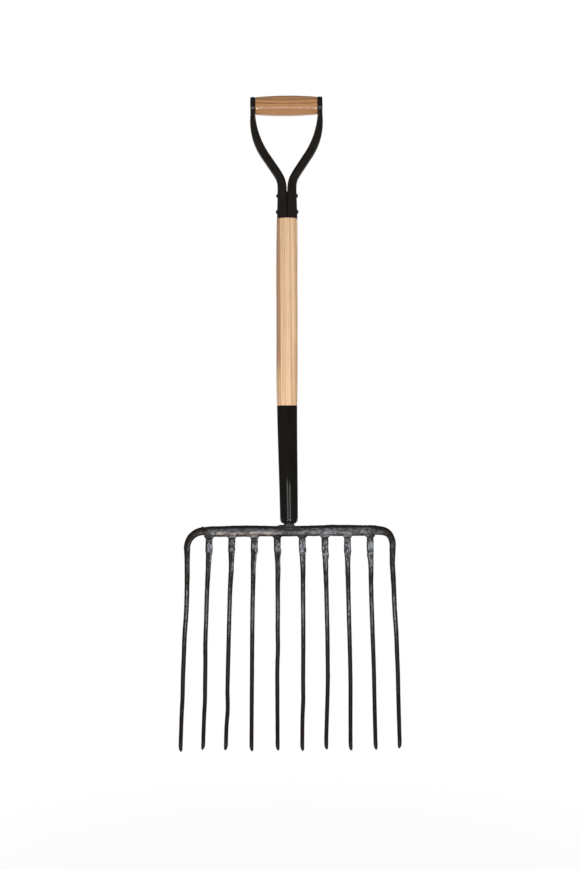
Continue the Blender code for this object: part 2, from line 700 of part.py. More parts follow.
def make_stub(number, finish, parent):
    """The forged stub under the bar that a tine is welded to, with a fillet up to the bar."""
    rings = []
    underside = BAR_HEIGHT / 2
    room = BAR_HALF_LENGTH - BAR_SCARF * underside - GAP - abs(root_x(number)) - ROOT_HALF_WIDTH
    fillet = min(STUB_FILLET, room)
    stations = [(underside - STUB_FILLET, fillet, 0)]
    fillet_steps = 2
    for i in range(fillet_steps + 1):
        a = math.pi / 2 * i / fillet_steps
        stations.append((underside + STUB_FILLET * (1 - math.cos(a)), fillet * (1 - math.sin(a)), 0))
    stations.append((STUB_DROP, 0, STUB_SCARF))
    for drop, flare, lean in stations:
        tangent = tangent_at(number, drop)
        half_width, half_depth = tine_half_sizes(number, drop, TINE_DROP)
        point = tine_point(number, drop)
        rings.append(section(point, tangent, half_width + flare, half_depth, lean))
    return add_object(f"stub_{number + 1:02d}", loft(rings), finish, parent)


def make_tine(number, finish, parent):
    """One welded tine, from its scarf face to its point."""
    end = TINE_DROP - TINE_SHAPES[number][3]
    rings = []
    if is_outer(number):
        bend_steps = 5
        side = math.copysign(1, root_x(number))
        for i in range(bend_steps):
            angle = math.pi / 2 * i / bend_steps
            step = 0.01
            here = outer_bend_point(number, angle)
            tangent = (outer_bend_point(number, angle + step) - here).normalized()
            share = smooth(i / bend_steps)
            half_width = mix(OUTER_ROOT_HALF_WIDTH, OUTER_BEND_HALF_WIDTH, share)
            half_depth = mix(OUTER_ROOT_HALF_DEPTH, WELD_HALF_DEPTH, share)
            ring = section(here, tangent, half_width, half_depth)
            if i == 0:
                gap = Vector((side * GAP / 2, 0, 0))
                ring = [scarf_place(p, side) + gap for p in ring]
            rings.append(ring)
        start = OUTER_BEND
    else:
        start = STUB_DROP
    for drop in tine_drops(start, end):
        tangent = tangent_at(number, drop)
        half_width, half_depth = tine_half_sizes(number, drop, end)
        at_weld = drop == STUB_DROP and start == STUB_DROP
        lean = STUB_SCARF if at_weld else 0
        away = tangent * GAP if at_weld else Vector()
        point = tine_point(number, drop) + away
        rings.append(section(point, tangent, half_width, half_depth, lean))
    return add_object(f"tine_{number + 1:02d}", loft(rings), finish, parent)


def scarf_place(point, side):
    """Moves a point of the outer tine's first ring onto the bar's leaning end face."""
    return Vector((side * (BAR_HALF_LENGTH + BAR_SCARF * (point.z - BAR_Z)), point.y, point.z))


def make_fork_head(finish, parent):
    """The forging: bar, eight stubs, neck and tang in one piece."""
    head = make_bar(finish, parent)
    boolean(head, make_neck_and_tang(finish, parent), "UNION")
    for number in range(1, TINES - 1):
        boolean(head, make_stub(number, finish, parent), "UNION")
    return head


def main():
    """Clears the scene and builds the fork."""
    for old in list(bpy.data.objects):
        bpy.data.objects.remove(old)
    fork = bpy.data.objects.new("fork", None)
    bpy.context.scene.collection.objects.link(fork)
    shaft_wood = material("shaft_wood", (0.72, 0.50, 0.29), 0.45)
    grip_wood = material("grip_wood", (0.52, 0.29, 0.14), 0.40)
    yoke_paint = material("yoke_paint", (0.012, 0.011, 0.010), 0.45)
    ferrule_paint = material("ferrule_paint", (0.010, 0.010, 0.009), 0.18)
    forged_paint = material("forged_paint", (0.016, 0.016, 0.016), 0.30)
    rivet_steel = material("rivet_steel", (0.020, 0.020, 0.021), 0.35)

    upper_z = SHELL_TOP_Z - UPPER_RIVET_FROM_TOP
    lower_z = SOCKET_BOTTOM_Z + LOWER_RIVET_FROM_BOTTOM
    holes = [make_rivet_hole(z, rivet_steel, fork) for z in (upper_z, lower_z)]
    make_hand_grip(grip_wood, fork)
    make_grip_rivet(rivet_steel, fork)
    make_yoke_half("yoke_right", 1, holes, yoke_paint, fork)
    make_yoke_half("yoke_left", -1, holes, yoke_paint, fork)
    make_cross_rivet("yoke_rivet_upper", upper_z, rivet_steel, fork)
    make_cross_rivet("yoke_rivet_lower", lower_z, rivet_steel, fork)
    make_shaft(holes, shaft_wood, fork)
    make_ferrule(ferrule_paint, fork)
    make_fork_head(forged_paint, fork)
    for number in range(TINES):
        make_tine(number, forged_paint, fork)


main()
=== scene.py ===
from math import acos, asin, copysign, cos, exp, pi, radians, sin, sqrt

import bmesh
import bpy
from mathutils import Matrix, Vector, noise


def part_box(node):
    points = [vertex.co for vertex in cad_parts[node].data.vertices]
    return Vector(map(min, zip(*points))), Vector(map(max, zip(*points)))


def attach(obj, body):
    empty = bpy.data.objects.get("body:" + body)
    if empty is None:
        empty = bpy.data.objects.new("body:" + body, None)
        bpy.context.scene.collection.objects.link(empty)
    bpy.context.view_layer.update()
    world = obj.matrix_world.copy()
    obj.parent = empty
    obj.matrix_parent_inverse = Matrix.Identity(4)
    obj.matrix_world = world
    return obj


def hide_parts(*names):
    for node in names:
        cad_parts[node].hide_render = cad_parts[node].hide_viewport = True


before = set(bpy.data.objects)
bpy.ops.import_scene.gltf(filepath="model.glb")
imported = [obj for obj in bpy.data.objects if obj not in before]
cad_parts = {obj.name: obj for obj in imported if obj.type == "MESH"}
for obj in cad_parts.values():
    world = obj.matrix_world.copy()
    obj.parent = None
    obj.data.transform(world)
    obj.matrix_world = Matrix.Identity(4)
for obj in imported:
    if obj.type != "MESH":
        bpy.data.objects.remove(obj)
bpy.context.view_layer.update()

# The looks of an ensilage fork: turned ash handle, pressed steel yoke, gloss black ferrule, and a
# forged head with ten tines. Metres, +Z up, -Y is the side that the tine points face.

BODY = "root"

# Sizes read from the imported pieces
GRIP_LOW, GRIP_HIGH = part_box("hand_grip")
SHAFT_LOW, SHAFT_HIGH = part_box("handle_shaft")
FERRULE_LOW, FERRULE_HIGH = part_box("ferrule")
SOCKET_BOTTOM_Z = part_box("yoke_right")[0].z
CUP_FACE_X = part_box("grip_rivet")[1].x
GRIP_Z = (GRIP_LOW.z + GRIP_HIGH.z) / 2
GRIP_MID_RADIUS = (GRIP_HIGH.z - GRIP_LOW.z) / 2
SHELL_TOP_Z = SHAFT_HIGH.z
SHAFT_MID_RADIUS = SHAFT_HIGH.x
SHAFT_BOTTOM_Z = SHAFT_LOW.z
FERRULE_TOP_Z = FERRULE_HIGH.z
FERRULE_BOTTOM_Z = FERRULE_LOW.z
FERRULE_TOP_RADIUS = FERRULE_HIGH.x

# Fit between pieces
GAP = 0.0003
SEAM_HALF_GAP = 0.0002

# Hand grip and its rivet
GRIP_LENGTH = 0.1110
GRIP_END_RADIUS = 0.0157
GRIP_FULLNESS = 0.8
GRIP_TENON_LENGTH = 0.0055
GRIP_EDGE = 0.0010
GRIP_RIVET_RADIUS = 0.0030
GRIP_RIVET_HEAD_RADIUS = 0.0056
GRIP_RIVET_HEAD_DEPTH = 0.0016
GRIP_RIVET_DOME = 0.0005

# Yoke
EYE_RADIUS = 0.0161
EYE_WALL = 0.0022
EYE_EDGE_RADIUS = 0.0016
SHEET = 0.0018
SHEET_EDGE_ROUND = 0.0016
ARM_TOP_X = 0.0604
ARM_BOTTOM_X = 0.0088
ARM_ANGLE = radians(34)
ARM_UPPER_BEND = 0.1280
ARM_LOWER_BEND = 0.0600
ARM_BELOW_EYE = 0.0021
ARM_INSIDE_EYE = 0.0070
ARM_HALF_WIDTH = 0.0082
ARM_HALF_DEPTH = 0.0087
ARM_NECK_HALF_WIDTH = 0.0048
ARM_NECK_HALF_DEPTH = 0.0140
ARM_FLATTENED_LENGTH = 0.0700
ARM_SLIT_HALF = 0.0005
SOCKET_OPENING_LENGTH = 0.0340
SOCKET_TOP_RADIUS = 0.0173
SOCKET_BOTTOM_RADIUS = 0.0186
CROTCH_TO_SHELL = 0.0042
CROSS_RIVET_RADIUS = 0.0026
CROSS_RIVET_HEAD_RADIUS = 0.0040
CROSS_RIVET_HEAD_HEIGHT = 0.0019
CROSS_RIVET_FULLNESS = 0.9
UPPER_RIVET_FROM_TOP = 0.0056
LOWER_RIVET_FROM_BOTTOM = 0.0125

# Shaft and ferrule
SHAFT_TOP_RADIUS = 0.0187
SHAFT_BOTTOM_RADIUS = 0.0184
SHAFT_END_TAPER = 0.0450
SHAFT_EDGE = 0.0006
FERRULE_BOTTOM_RADIUS = 0.0162
FERRULE_CORNER = 0.0062
FERRULE_CORNER_RISE = 0.0016  # how much higher than wide the corner is
FERRULE_WALL = 0.0016

# Forged head
NECK_RADIUS = 0.0088
NECK_SHOWN = 0.0050
NECK_FLARE = 0.0030
TANG_BASE_RADIUS = 0.0060
TANG_TIP_RADIUS = 0.0032
TANG_LENGTH = 0.1400
TANG_TIP_ROOM = 0.0020
BAR_HEIGHT = 0.0176
BAR_END_HEIGHT = 0.0158
BAR_HALF_DEPTH = 0.0070
BOSS_HALF_DEPTH = 0.0096
BOSS_HALF_WIDTH = 0.0130
BOSS_BLEND = 0.0180
BAR_END_BLEND = 0.0150
BAR_SCARF = 0.30
BAR_PAST_STUB = 0.0006
BAR_ARCH = 0.0014  # how far each half of the bar bows up between boss and end
SHOULDER_X = -0.0115  # the lump of the forging beside the neck
SHOULDER_HALF_WIDTH = 0.0095
SHOULDER_HEIGHT = 0.0024
HEAD_SWELL = 0.0005  # gives back what softening takes off
SCARF_BEAD = 0.0011  # the weld's bead round an outer tine's root
BEAD_STRETCH = 1.6  # how much wider than high it is
BEND_FULLNESS = (0.96, 0.72)  # of the left and right outer bends: below 1 they are squarer
BEND_SQUARENESS = (3.0, 2.4)  # of an outer tine's section at its root and past its bend

# Tines
CENTRE_PITCH = 0.0450
TINE_PITCH = 0.0408
TINE_DROP = 0.3920
STUB_DROP = 0.0370
STUB_SCARF = 0.45
STUB_FILLET = 0.0028
OUTER_BEND = 0.0320
ROOT_ANGLE = radians(28)
HEEL_ANGLE = radians(8)
HEEL_RADIUS = 0.2000
BELLY_RADIUS = 0.6400
ROOT_HALF_WIDTH = 0.0056
ROOT_HALF_DEPTH = 0.0060
ROOT_SQUARENESS = 3.4  # 2 is oval
WELD_HALF_WIDTH = 0.0056
WELD_HALF_DEPTH = 0.0053
BLADE_HALF_WIDTH = 0.0041
BLADE_HALF_DEPTH = 0.0044
TAPER_DROP = 0.1050
TAPER_KNEE = 0.40
TAPER_KNEE_FALL = 0.65
ROD_SWELL = 0.0002  # what scale and paint add on each side of a rod
DENT_ROOM = 0.00025  # left off a rod's depth for the hammer's marks
POINT_HALF_WIDTH = 0.0035
POINT_HALF_DEPTH = 0.0036
POINT_LENGTH = 0.0110
POINT_TIP_HALF = 0.0009
POINT_BLUNTNESS = 3.2
POINT_ASIDE = 0.0012  # how far the cut leaves a point to one side
OUTER_ROOT_HALF_WIDTH = 0.0070
OUTER_ROOT_HALF_DEPTH = 0.0062
OUTER_BEND_HALF_WIDTH = 0.0055
OUTER_BLADE_HALF_WIDTH = 0.0044

# How far each tine drifts sideways at a third, at two thirds and at its point, and how much shorter
# it is than the longest, from left to right
TINE_SHAPES = (
    (-0.003, -0.010, -0.013, 0.000),
    (-0.007, -0.010, -0.013, 0.003),
    (-0.006, -0.010, -0.013, 0.002),
    (-0.005, -0.007, -0.008, 0.000),
    (0.000, -0.002, -0.002, 0.001),
    (0.001, 0.000, -0.003, 0.000),
    (0.003, 0.004, -0.001, 0.002),
    (0.002, 0.004, 0.002, 0.000),
    (0.003, 0.006, 0.006, 0.001),
    (0.004, 0.0089, 0.0089, 0.003),
)
TINES = len(TINE_SHAPES)

# The hammer's marks on the head and on the tines, as (size, depth)
HEAD_MARKS = ((0.0110, 0.00050), (0.0045, 0.00030), (0.0020, 0.00010))
TINE_MARKS = ((0.0150, 0.00045), (0.0080, 0.00020))
BLADE_MARKS = 0.35  # the share of them that a tine's blade has

# The swelling of each weld, from left to right: its drop, and how far it stands out left and right
WELDS = (
    (0.060, 0.0000, 0.0000),
    (0.034, 0.0003, 0.0007),
    (0.031, 0.0004, 0.0004),
    (0.036, 0.0002, 0.0005),
    (0.038, 0.0000, 0.0011),
    (0.035, 0.0002, 0.0010),
    (0.046, 0.0002, 0.0012),
    (0.039, 0.0007, 0.0007),
    (0.046, 0.0009, 0.0004),
    (0.060, 0.0000, 0.0000),
)
WELD_LENGTH = 0.0055
WELD_LAP = 0.0030  # how far stub and tine run into each other
WELD_FLAT = 0.26  # how much of a rod's depth the hammer took off its front at the weld
WELD_FLAT_LENGTH = 0.0380

# Small bends by hand, by tine from the left: drop, how far it goes aside, and over what length
KINKS = {
    0: ((0.190, -0.0010, 0.030), (0.300, 0.0007, 0.025)),
    1: ((0.205, -0.0009, 0.035), (0.305, 0.0006, 0.020)),
    2: ((0.070, 0.0006, 0.020), (0.320, 0.0015, 0.022)),
    3: ((0.065, -0.0009, 0.020),),
    4: ((0.070, 0.0007, 0.020), (0.215, 0.0009, 0.025)),
    5: ((0.070, 0.0006, 0.020), (0.305, 0.0007, 0.018)),
    8: ((0.065, 0.0008, 0.020),),
    9: ((0.065, -0.0010, 0.020), (0.190, 0.0008, 0.030)),
}

# How much thicker the left and right outer tine's root is, and how far above the bar's axis it sits
ROOT_THICKER = (0.0002, 0.0009)
ROOT_RISE = (0.0013, 0.0001)

# Places that follow from the sizes
ARM_BEND_Z = GRIP_Z - EYE_RADIUS - ARM_BELOW_EYE
ARM_STRAIGHT = (
    ARM_TOP_X - ARM_BOTTOM_X - (ARM_UPPER_BEND + ARM_LOWER_BEND) * (1 - cos(ARM_ANGLE))
) / sin(ARM_ANGLE)
CROTCH_Z = SHELL_TOP_Z + CROTCH_TO_SHELL
SOCKET_LENGTH = SHELL_TOP_Z - SOCKET_BOTTOM_Z
UPPER_RIVET_Z = SHELL_TOP_Z - UPPER_RIVET_FROM_TOP
LOWER_RIVET_Z = SOCKET_BOTTOM_Z + LOWER_RIVET_FROM_BOTTOM
BAR_TOP_Z = FERRULE_BOTTOM_Z - NECK_SHOWN
BAR_Z = BAR_TOP_Z - BAR_HEIGHT / 2
LAST_STUB_X = CENTRE_PITCH / 2 + (TINES / 2 - 2) * TINE_PITCH
BAR_HALF_LENGTH = LAST_STUB_X + ROOT_HALF_WIDTH + BAR_PAST_STUB + BAR_SCARF * BAR_HEIGHT / 2
OUTER_TINE_X = BAR_HALF_LENGTH + OUTER_BEND

# The handle's slight bow, as (height, how far its axis stands aside)
BOW = (
    (SHELL_TOP_Z, 0.0),
    (-0.32, -0.0016),
    (FERRULE_TOP_Z, -0.0028),
    (FERRULE_BOTTOM_Z, -0.0010),
    (BAR_Z, 0.0),
)

# Fineness of the shapes
LATHE_SIDES = 96
RIVET_SIDES = 48
DRILL_SIDES = 32
NECK_SIDES = 48
ROD_SIDES = 24
BEAD_SIDES = 10
BEAD_STEPS = 40
SHEET_STEPS = 30
YOKE_VOXEL = 0.00055
YOKE_SOFTENING = 3
HEAD_VOXEL = 0.00070
HEAD_SOFTENING = 4

# Camera: the photograph's frame is 580 by 870, and one of its pixels is 1.8 mm at the object
FRAME_WIDTH = 580
FRAME_HEIGHT = 870
PIXEL = 0.0018
CAMERA_DISTANCE = 2.65
GRIP_ROW = 105.9
AXIS_COLUMN = 288.9
CAMERA_ROLL = 0.0077
SENSOR = 36.0

# Colours. Each wood has its pale ground, ring lines, clouds, fibres and pores.
SHAFT_ASH = (
    (0.920, 0.675, 0.440),
    (0.660, 0.405, 0.215),
    (0.740, 0.450, 0.250),
    (0.450, 0.250, 0.120),
    (0.360, 0.190, 0.085),
)
GRIP_ASH = (
    (0.620, 0.318, 0.136),
    (0.400, 0.180, 0.062),
    (0.460, 0.208, 0.074),
    (0.260, 0.112, 0.040),
    (0.170, 0.068, 0.024),
)
HEARTWOOD = (0.430, 0.220, 0.110)
LOW_STAIN = (0.500, 0.265, 0.125)
# Painted shade on the wood inside the socket
PAINTED_SOCKET_SHADE = (0.010, 0.008, 0.007)
SATIN_BLACKS = ((0.0130, 0.0102, 0.0086), (0.0165, 0.0132, 0.0112))
# Painted shade in the groove of the socket's seam
SEAM_SHADE_BLACK = (0.002, 0.002, 0.002)
GLOSS_BLACKS = ((0.0070, 0.0060, 0.0050), (0.0090, 0.0080, 0.0068))
FORGED_BLACK = (0.0150, 0.0115, 0.0095)
# Grey of forge scale and painted sheen, then painted highlights for the bar's lower edge, its left
# half and the stubs
SCALE_GREY_AND_SHEEN = (0.130, 0.140, 0.153)
LOW_EDGE_HIGHLIGHT = (0.210, 0.217, 0.229)
PINK_EDGE_HIGHLIGHT = (0.325, 0.288, 0.272)
STUB_SHEEN = (0.260, 0.280, 0.303)
WHITE = (1, 1, 1)
FLOOR_WHITE = (0.9, 0.9, 0.9)

# Stage
FLOOR_Z = -1.40
FLOOR_SIZE = 14.0
WORLD_LEVEL = 0.70
FRONT_LEVEL = 0.06  # of the dim room round the object, as gloss shows it


def mix(a, b, share):
    """The value a share of the way from a to b."""
    return a + (b - a) * share


def smooth(share):
    """A smooth step from 0 to 1."""
    t = min(1.0, max(0.0, share))
    return t * t * (3 - 2 * t)


def evenly(start, end, steps):
    """Values from start to end in even steps, both included."""
    return [mix(start, end, i / steps) for i in range(steps + 1)]


def between(stations, at):
    """A value read from (place, value) stations with straight lines between them."""
    for (a, low), (b, high) in zip(stations, stations[1:]):
        if at <= b:
            return mix(low, high, max(0.0, (at - a) / (b - a)))
    return stations[-1][1]


def curve_through(values, share):
    """A smooth curve through evenly spaced values, read at a share of its length."""
    last = len(values) - 1
    place = min(1.0, max(0.0, share)) * last
    i = min(int(place), last - 1)
    t = place - i
    before = values[max(i - 1, 0)]
    here, after = values[i], values[i + 1]
    beyond = values[min(i + 2, last)]
    bend = (2 * before - 5 * here + 4 * after - beyond) * t * t
    turn = (3 * here - before - 3 * after + beyond) * t ** 3
    value = 0.5 * (2 * here + (after - before) * t + bend + turn)
    return min(max(here, after), max(min(here, after), value))


def bell(distance, reach):
    """A soft bump that is 1 in its middle and all but gone two reaches away."""
    return exp(-((distance / reach) ** 2))


def bow(z):
    """How far aside the handle's axis stands at height z."""
    for (high, start), (low, end) in zip(BOW, BOW[1:]):
        if z >= low:
            return mix(start, end, smooth((high - z) / (high - low)))
    return 0.0


# Meshes


def loft(bm, rings, ends="caps"):
    """Adds a skin through rings: with caps, "around" to its start again, or as a bent "sheet"."""
    loops = [[bm.verts.new(point) for point in ring] for ring in rings]
    count = len(rings[0])
    pairs = list(zip(loops, loops[1:]))
    if ends == "around":
        pairs.append((loops[-1], loops[0]))
    for first, second in pairs:
        for i in range(count):
            j = (i + 1) % count
            bm.faces.new((first[i], first[j], second[j], second[i]))
    if ends == "caps":
        bm.faces.new(loops[0])
        bm.faces.new(loops[-1])
    if ends == "sheet":
        for end in (loops[0], loops[-1]):
            for i in range(count // 2 - 1):
                bm.faces.new((end[i], end[i + 1], end[count - 2 - i], end[count - 1 - i]))


def circle(sides):
    """The (cosine, sine) pairs of angles spread evenly over a turn."""
    angles = [2 * pi * i / sides for i in range(sides)]
    return [(cos(a), sin(a)) for a in angles]


def ring_about_z(radius, height, sides=LATHE_SIDES):
    """A round ring about the handle's axis."""
    axis = bow(height)
    return [Vector((axis + radius * c, radius * s, height)) for c, s in circle(sides)]


def turned_about_z(profile, ends="caps"):
    """A shape turned about the handle's axis, from its (radius, height) profile."""
    bm = bmesh.new()
    loft(bm, [ring_about_z(radius, height) for radius, height in profile], ends)
    return bm


def turned_about_x(profile, height, sides=LATHE_SIDES, ends="caps"):
    """A shape turned about a line along X at a height, from its (radius, place along X) profile."""
    rings = []
    for radius, along in profile:
        ring = [Vector((along, radius * c, height + radius * s)) for c, s in circle(sides)]
        rings.append(ring)
    bm = bmesh.new()
    loft(bm, rings, ends)
    return bm


def arc_points(centre, radius, start, end, steps):
    """(radius, height) points on an arc, from the angle start to the angle end, both included."""
    x, z = centre
    return [(x + radius * cos(a), z + radius * sin(a)) for a in evenly(start, end, steps)]


def face_out(bm):
    """Turns every face outwards."""
    bmesh.ops.recalc_face_normals(bm, faces=bm.faces)
    if bm.calc_volume(signed=True) < 0:
        bmesh.ops.reverse_faces(bm, faces=bm.faces)


def new_object(name, data):
    """An object in the scene."""
    made = bpy.data.objects.new(name, data)
    bpy.context.scene.collection.objects.link(made)
    return made


def to_object(name, bm):
    """A plain object with bm's mesh."""
    face_out(bm)
    mesh = bpy.data.meshes.new(name)
    bm.to_mesh(mesh)
    bm.free()
    return new_object(name, mesh)


def discard(obj):
    """Removes an object and its mesh."""
    mesh = obj.data
    bpy.data.objects.remove(obj)
    bpy.data.meshes.remove(mesh)


def settled(obj):
    """The mesh of an object after its modifiers, as a bmesh. The object itself goes."""
    bm = bmesh.new()
    bm.from_object(obj, bpy.context.evaluated_depsgraph_get())
    discard(obj)
    return bm


def merged(bm, voxel, softening):
    """One skin of even small faces round all shapes in bm, with its corners softened."""
    obj = to_object("merging", bm)
    remesh = obj.modifiers.new("remesh", "REMESH")
    remesh.mode = "VOXEL"
    remesh.voxel_size = voxel
    soften = obj.modifiers.new("soften", "SMOOTH")
    soften.factor = 0.5
    soften.iterations = softening
    return settled(obj)


def combined(bm, tools):
    """bm after Booleans with (operation, bmesh) tools."""
    obj = to_object("shaping", bm)
    helpers = []
    for operation, tool in tools:
        helper = to_object("helper", tool)
        modifier = obj.modifiers.new("boolean", "BOOLEAN")
        modifier.operation = operation
        modifier.object = helper
        helpers.append(helper)
    made = settled(obj)
    for helper in helpers:
        discard(helper)
    return made


def hammer(bm, marks, swell=0.0, quiet=None):
    """Dents and swells a surface along its normals by smooth noise: (size of a mark, depth) pairs.

    quiet gives the share of the marks that is left at a height.
    """
    bm.normal_update()
    moves = []
    for vert in bm.verts:
        depth = sum(deep * noise.noise(vert.co / size) for size, deep in marks)
        if quiet:
            depth *= quiet(vert.co.z)
        moves.append(vert.normal * (depth + swell))
    for vert, move in zip(bm.verts, moves):
        vert.co += move


def add_piece(name, bm, finish, nodes, crease=None):
    """Adds a piece that stands for CAD nodes. Its edges over crease degrees stay sharp."""
    piece = to_object(name, bm)
    piece.data.shade_smooth()
    if crease:
        piece.data.set_sharp_from_angle(angle=radians(crease))
    piece.data.materials.append(finish["material"])
    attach(piece, BODY)
    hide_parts(*nodes)


# Materials


def feed(socket, value):
    """Links a value to a socket, or sets it there. Colours are opaque."""
    if isinstance(value, bpy.types.NodeSocket):
        socket.id_data.links.new(value, socket)
    else:
        socket.default_value = (*value, 1.0) if socket.type == "RGBA" else value


def add(beside, kind, inputs=None, **settings):
    """A node with its settings and inputs, in a tree or in the tree of a socket."""
    node = beside.id_data.nodes.new(kind)
    for key, value in settings.items():
        setattr(node, key, value)
    for key, value in (inputs or {}).items():
        feed(node.inputs[key], value)
    return node


def math_node(operation, *values):
    """The result of a Math node. The first value is a socket."""
    return add(values[0], "ShaderNodeMath", dict(enumerate(values)), operation=operation).outputs[0]


def vector_node(operation, *values):
    """The outputs of a Vector Math node. The first value is a socket."""
    inputs = dict(enumerate(values))
    return add(values[0], "ShaderNodeVectorMath", inputs, operation=operation).outputs


def times(first, *others):
    """The product of values, the first of them a socket."""
    for other in others:
        first = math_node("MULTIPLY", first, other)
    return first


def larger(first, second):
    """The larger of two values."""
    return math_node("MAXIMUM", first, second)


def ramp(value, low, high, bottom=0.0, top=1.0):
    """value eased from bottom to top as it goes from low to high."""
    inputs = {"Value": value, "From Min": low, "From Max": high, "To Min": bottom, "To Max": top}
    node = add(value, "ShaderNodeMapRange", inputs, interpolation_type="SMOOTHSTEP")
    return node.outputs["Result"]


def blend(share, first, second):
    """A mixed colour."""
    inputs = {"Factor": share, 6: first, 7: second}
    return add(share, "ShaderNodeMix", inputs, data_type="RGBA").outputs[2]


def layered(colour, layers):
    """A colour with (share, colour) layers over it."""
    for share, over in layers:
        colour = blend(share, colour, over)
    return colour


def coordinates(place):
    """A place's x, y and z."""
    return add(place, "ShaderNodeSeparateXYZ", {0: place}).outputs[:]


def stretched(place, scale):
    """A place drawn out along an axis."""
    return add(place, "ShaderNodeMapping", {"Vector": place, "Scale": scale}).outputs[0]


def grain_noise(place, scale, detail=2.0, roughness=0.5, distortion=0.0):
    """A noise value at a place."""
    inputs = {
        "Vector": place,
        "Scale": scale,
        "Detail": detail,
        "Roughness": roughness,
        "Distortion": distortion,
    }
    return add(place, "ShaderNodeTexNoise", inputs).outputs["Fac"]


def new_material(name):
    """A material, and the place of each of its points in the fork's frame."""
    made = bpy.data.materials.new(name)
    made.use_nodes = True
    return made, add(made.node_tree, "ShaderNodeTexCoord").outputs["Object"]


def finished(made, slot, colour, roughness, height, depth, strength, settings=None):
    """A material and its slot, with looks and settings on its shader and relief as a bump."""
    relief = {"Height": height, "Distance": depth, "Strength": strength}
    normal = add(height, "ShaderNodeBump", relief).outputs["Normal"]
    shader = made.node_tree.nodes["Principled BSDF"]
    looks = {"Base Color": colour, "Roughness": roughness, "Normal": normal, **(settings or {})}
    for key, value in looks.items():
        feed(shader.inputs[key], value)
    return {"material": made, "slot": slot}


def wood_grain(place, pith, flat, draw):
    """Ring lines, pores, fibres and slow colour changes of straight-grained ash.

    pith is a point on the tree's own axis, flat flattens a place on to the plane across the grain,
    and draw draws noise out along the grain.
    """
    slow = grain_noise(stretched(place, tuple(2.2 * d for d in draw)), 9.0)
    waver = times(math_node("SUBTRACT", slow, 0.5), 0.010)
    across = vector_node("MULTIPLY", place, flat)[0]
    reach = vector_node("DISTANCE", across, pith)["Value"]
    depth = math_node("ADD", reach, waver)
    inputs = {"W": depth, "Scale": 420.0, "Detail": 2.5, "Roughness": 0.62}
    lines = add(depth, "ShaderNodeTexNoise", inputs, noise_dimensions="1D").outputs["Fac"]
    rings = ramp(lines, 0.43, 0.60)
    dashes = grain_noise(stretched(place, draw), 900.0, 1.0)
    pores = times(ramp(dashes, 0.56, 0.70), ramp(lines, 0.35, 0.60))
    fibres = grain_noise(stretched(place, tuple(0.6 * d for d in draw)), 2600.0)
    return rings, pores, fibres, slow


def ash_colour(grain, colours, cloudy, fibrous, porous, stains=()):
    """Ash's colour: ring lines and clouds, stains laid over them, then fibres and pores."""
    rings, pores, fibres, slow = grain
    pale, ring, cloud, fibre, pore = colours
    return layered(pale, (
        (rings, ring),
        (ramp(slow, 0.35, 0.75, 0.0, cloudy), cloud),
        *stains,
        (ramp(fibres, 0.3, 0.8, 0.0, fibrous), fibre),
        (times(pores, porous), pore),
    ))


def lacquered(made, slot, colour, grain, roughness, dent, coat):
    """Ash with fine dents along its pores and fibres, under a coat of lacquer."""
    _, pores, fibres, _ = grain
    rough = ramp(fibres, 0.2, 0.8, *roughness)
    dents = math_node("MULTIPLY_ADD", pores, -1.0, fibres)
    lacquer = dict(zip(("Coat Weight", "Coat Roughness"), coat))
    return finished(made, slot, colour, rough, dents, *dent, lacquer)


def shaft_wood():
    """Pale ash: straight grain down the shaft, pink-brown heartwood along its left side, and
    painted shade, near black, on the part inside the socket.
    """
    made, place = new_material("pale_ash")
    grain = wood_grain(place, (-0.085, 0.025, 0.0), (1, 1, 0), (1.0, 1.0, 0.022))
    x, _, z = coordinates(place)
    edge = math_node("MULTIPLY_ADD", grain[-1], 0.012, -0.0195)
    heart = ramp(math_node("SUBTRACT", edge, x), -0.0006, 0.0030)
    heart = times(heart, ramp(z, -0.485, -0.430, 0.35, 1.0), 0.92)
    low_right = times(ramp(x, 0.0050, 0.0130), ramp(z, -0.380, -0.440), 0.45)
    stains = ((heart, HEARTWOOD), (low_right, LOW_STAIN))
    colour = ash_colour(grain, SHAFT_ASH, 0.45, 0.22, 0.55, stains)
    # Painted shade: the wood inside the socket is darkened to near black, where the socket shades
    # it.
    inside = ramp(z, SOCKET_BOTTOM_Z - GAP, SOCKET_BOTTOM_Z)
    colour = blend(inside, colour, PAINTED_SOCKET_SHADE)
    return lacquered(made, "shaft_wood", colour, grain, (0.40, 0.58), (0.00006, 0.6), (0.25, 0.32))


def grip_wood():
    """Darker, redder ash with its grain along the grip."""
    made, place = new_material("brown_ash")
    grain = wood_grain(place, (0.0, 0.030, -0.070), (0, 1, 1), (0.022, 1.0, 1.0))
    colour = ash_colour(grain, GRIP_ASH, 0.50, 0.20, 0.50)
    return lacquered(made, "grip_wood", colour, grain, (0.36, 0.52), (0.00005, 0.4), (0.60, 0.13))


def satin_paint(name, slot):
    """Satin black paint on pressed steel: faintly pebbled, uneven in gloss, with painted shade
    darkening the groove of the socket's seam.
    """
    made, place = new_material(name)
    cloud = grain_noise(place, 60.0, 3.0)
    spray = grain_noise(place, 1500.0)
    skin = grain_noise(place, 420.0, 1.0)
    colour = blend(ramp(cloud, 0.3, 0.75), *SATIN_BLACKS)
    x, _, z = coordinates(place)
    # Painted shade: the groove down the socket's seam, below the crotch, is darkened to near black
    # and made rougher.
    seam = ramp(math_node("ABSOLUTE", x), 0.0030, 0.0014)
    seam = times(seam, ramp(z, CROTCH_Z, SHELL_TOP_Z))
    colour = blend(seam, colour, SEAM_SHADE_BLACK)
    rough = larger(ramp(cloud, 0.25, 0.75, 0.20, 0.27), seam)
    relief = math_node("MULTIPLY_ADD", spray, 0.35, skin)
    return finished(made, slot, colour, rough, relief, 0.00010, 0.18)


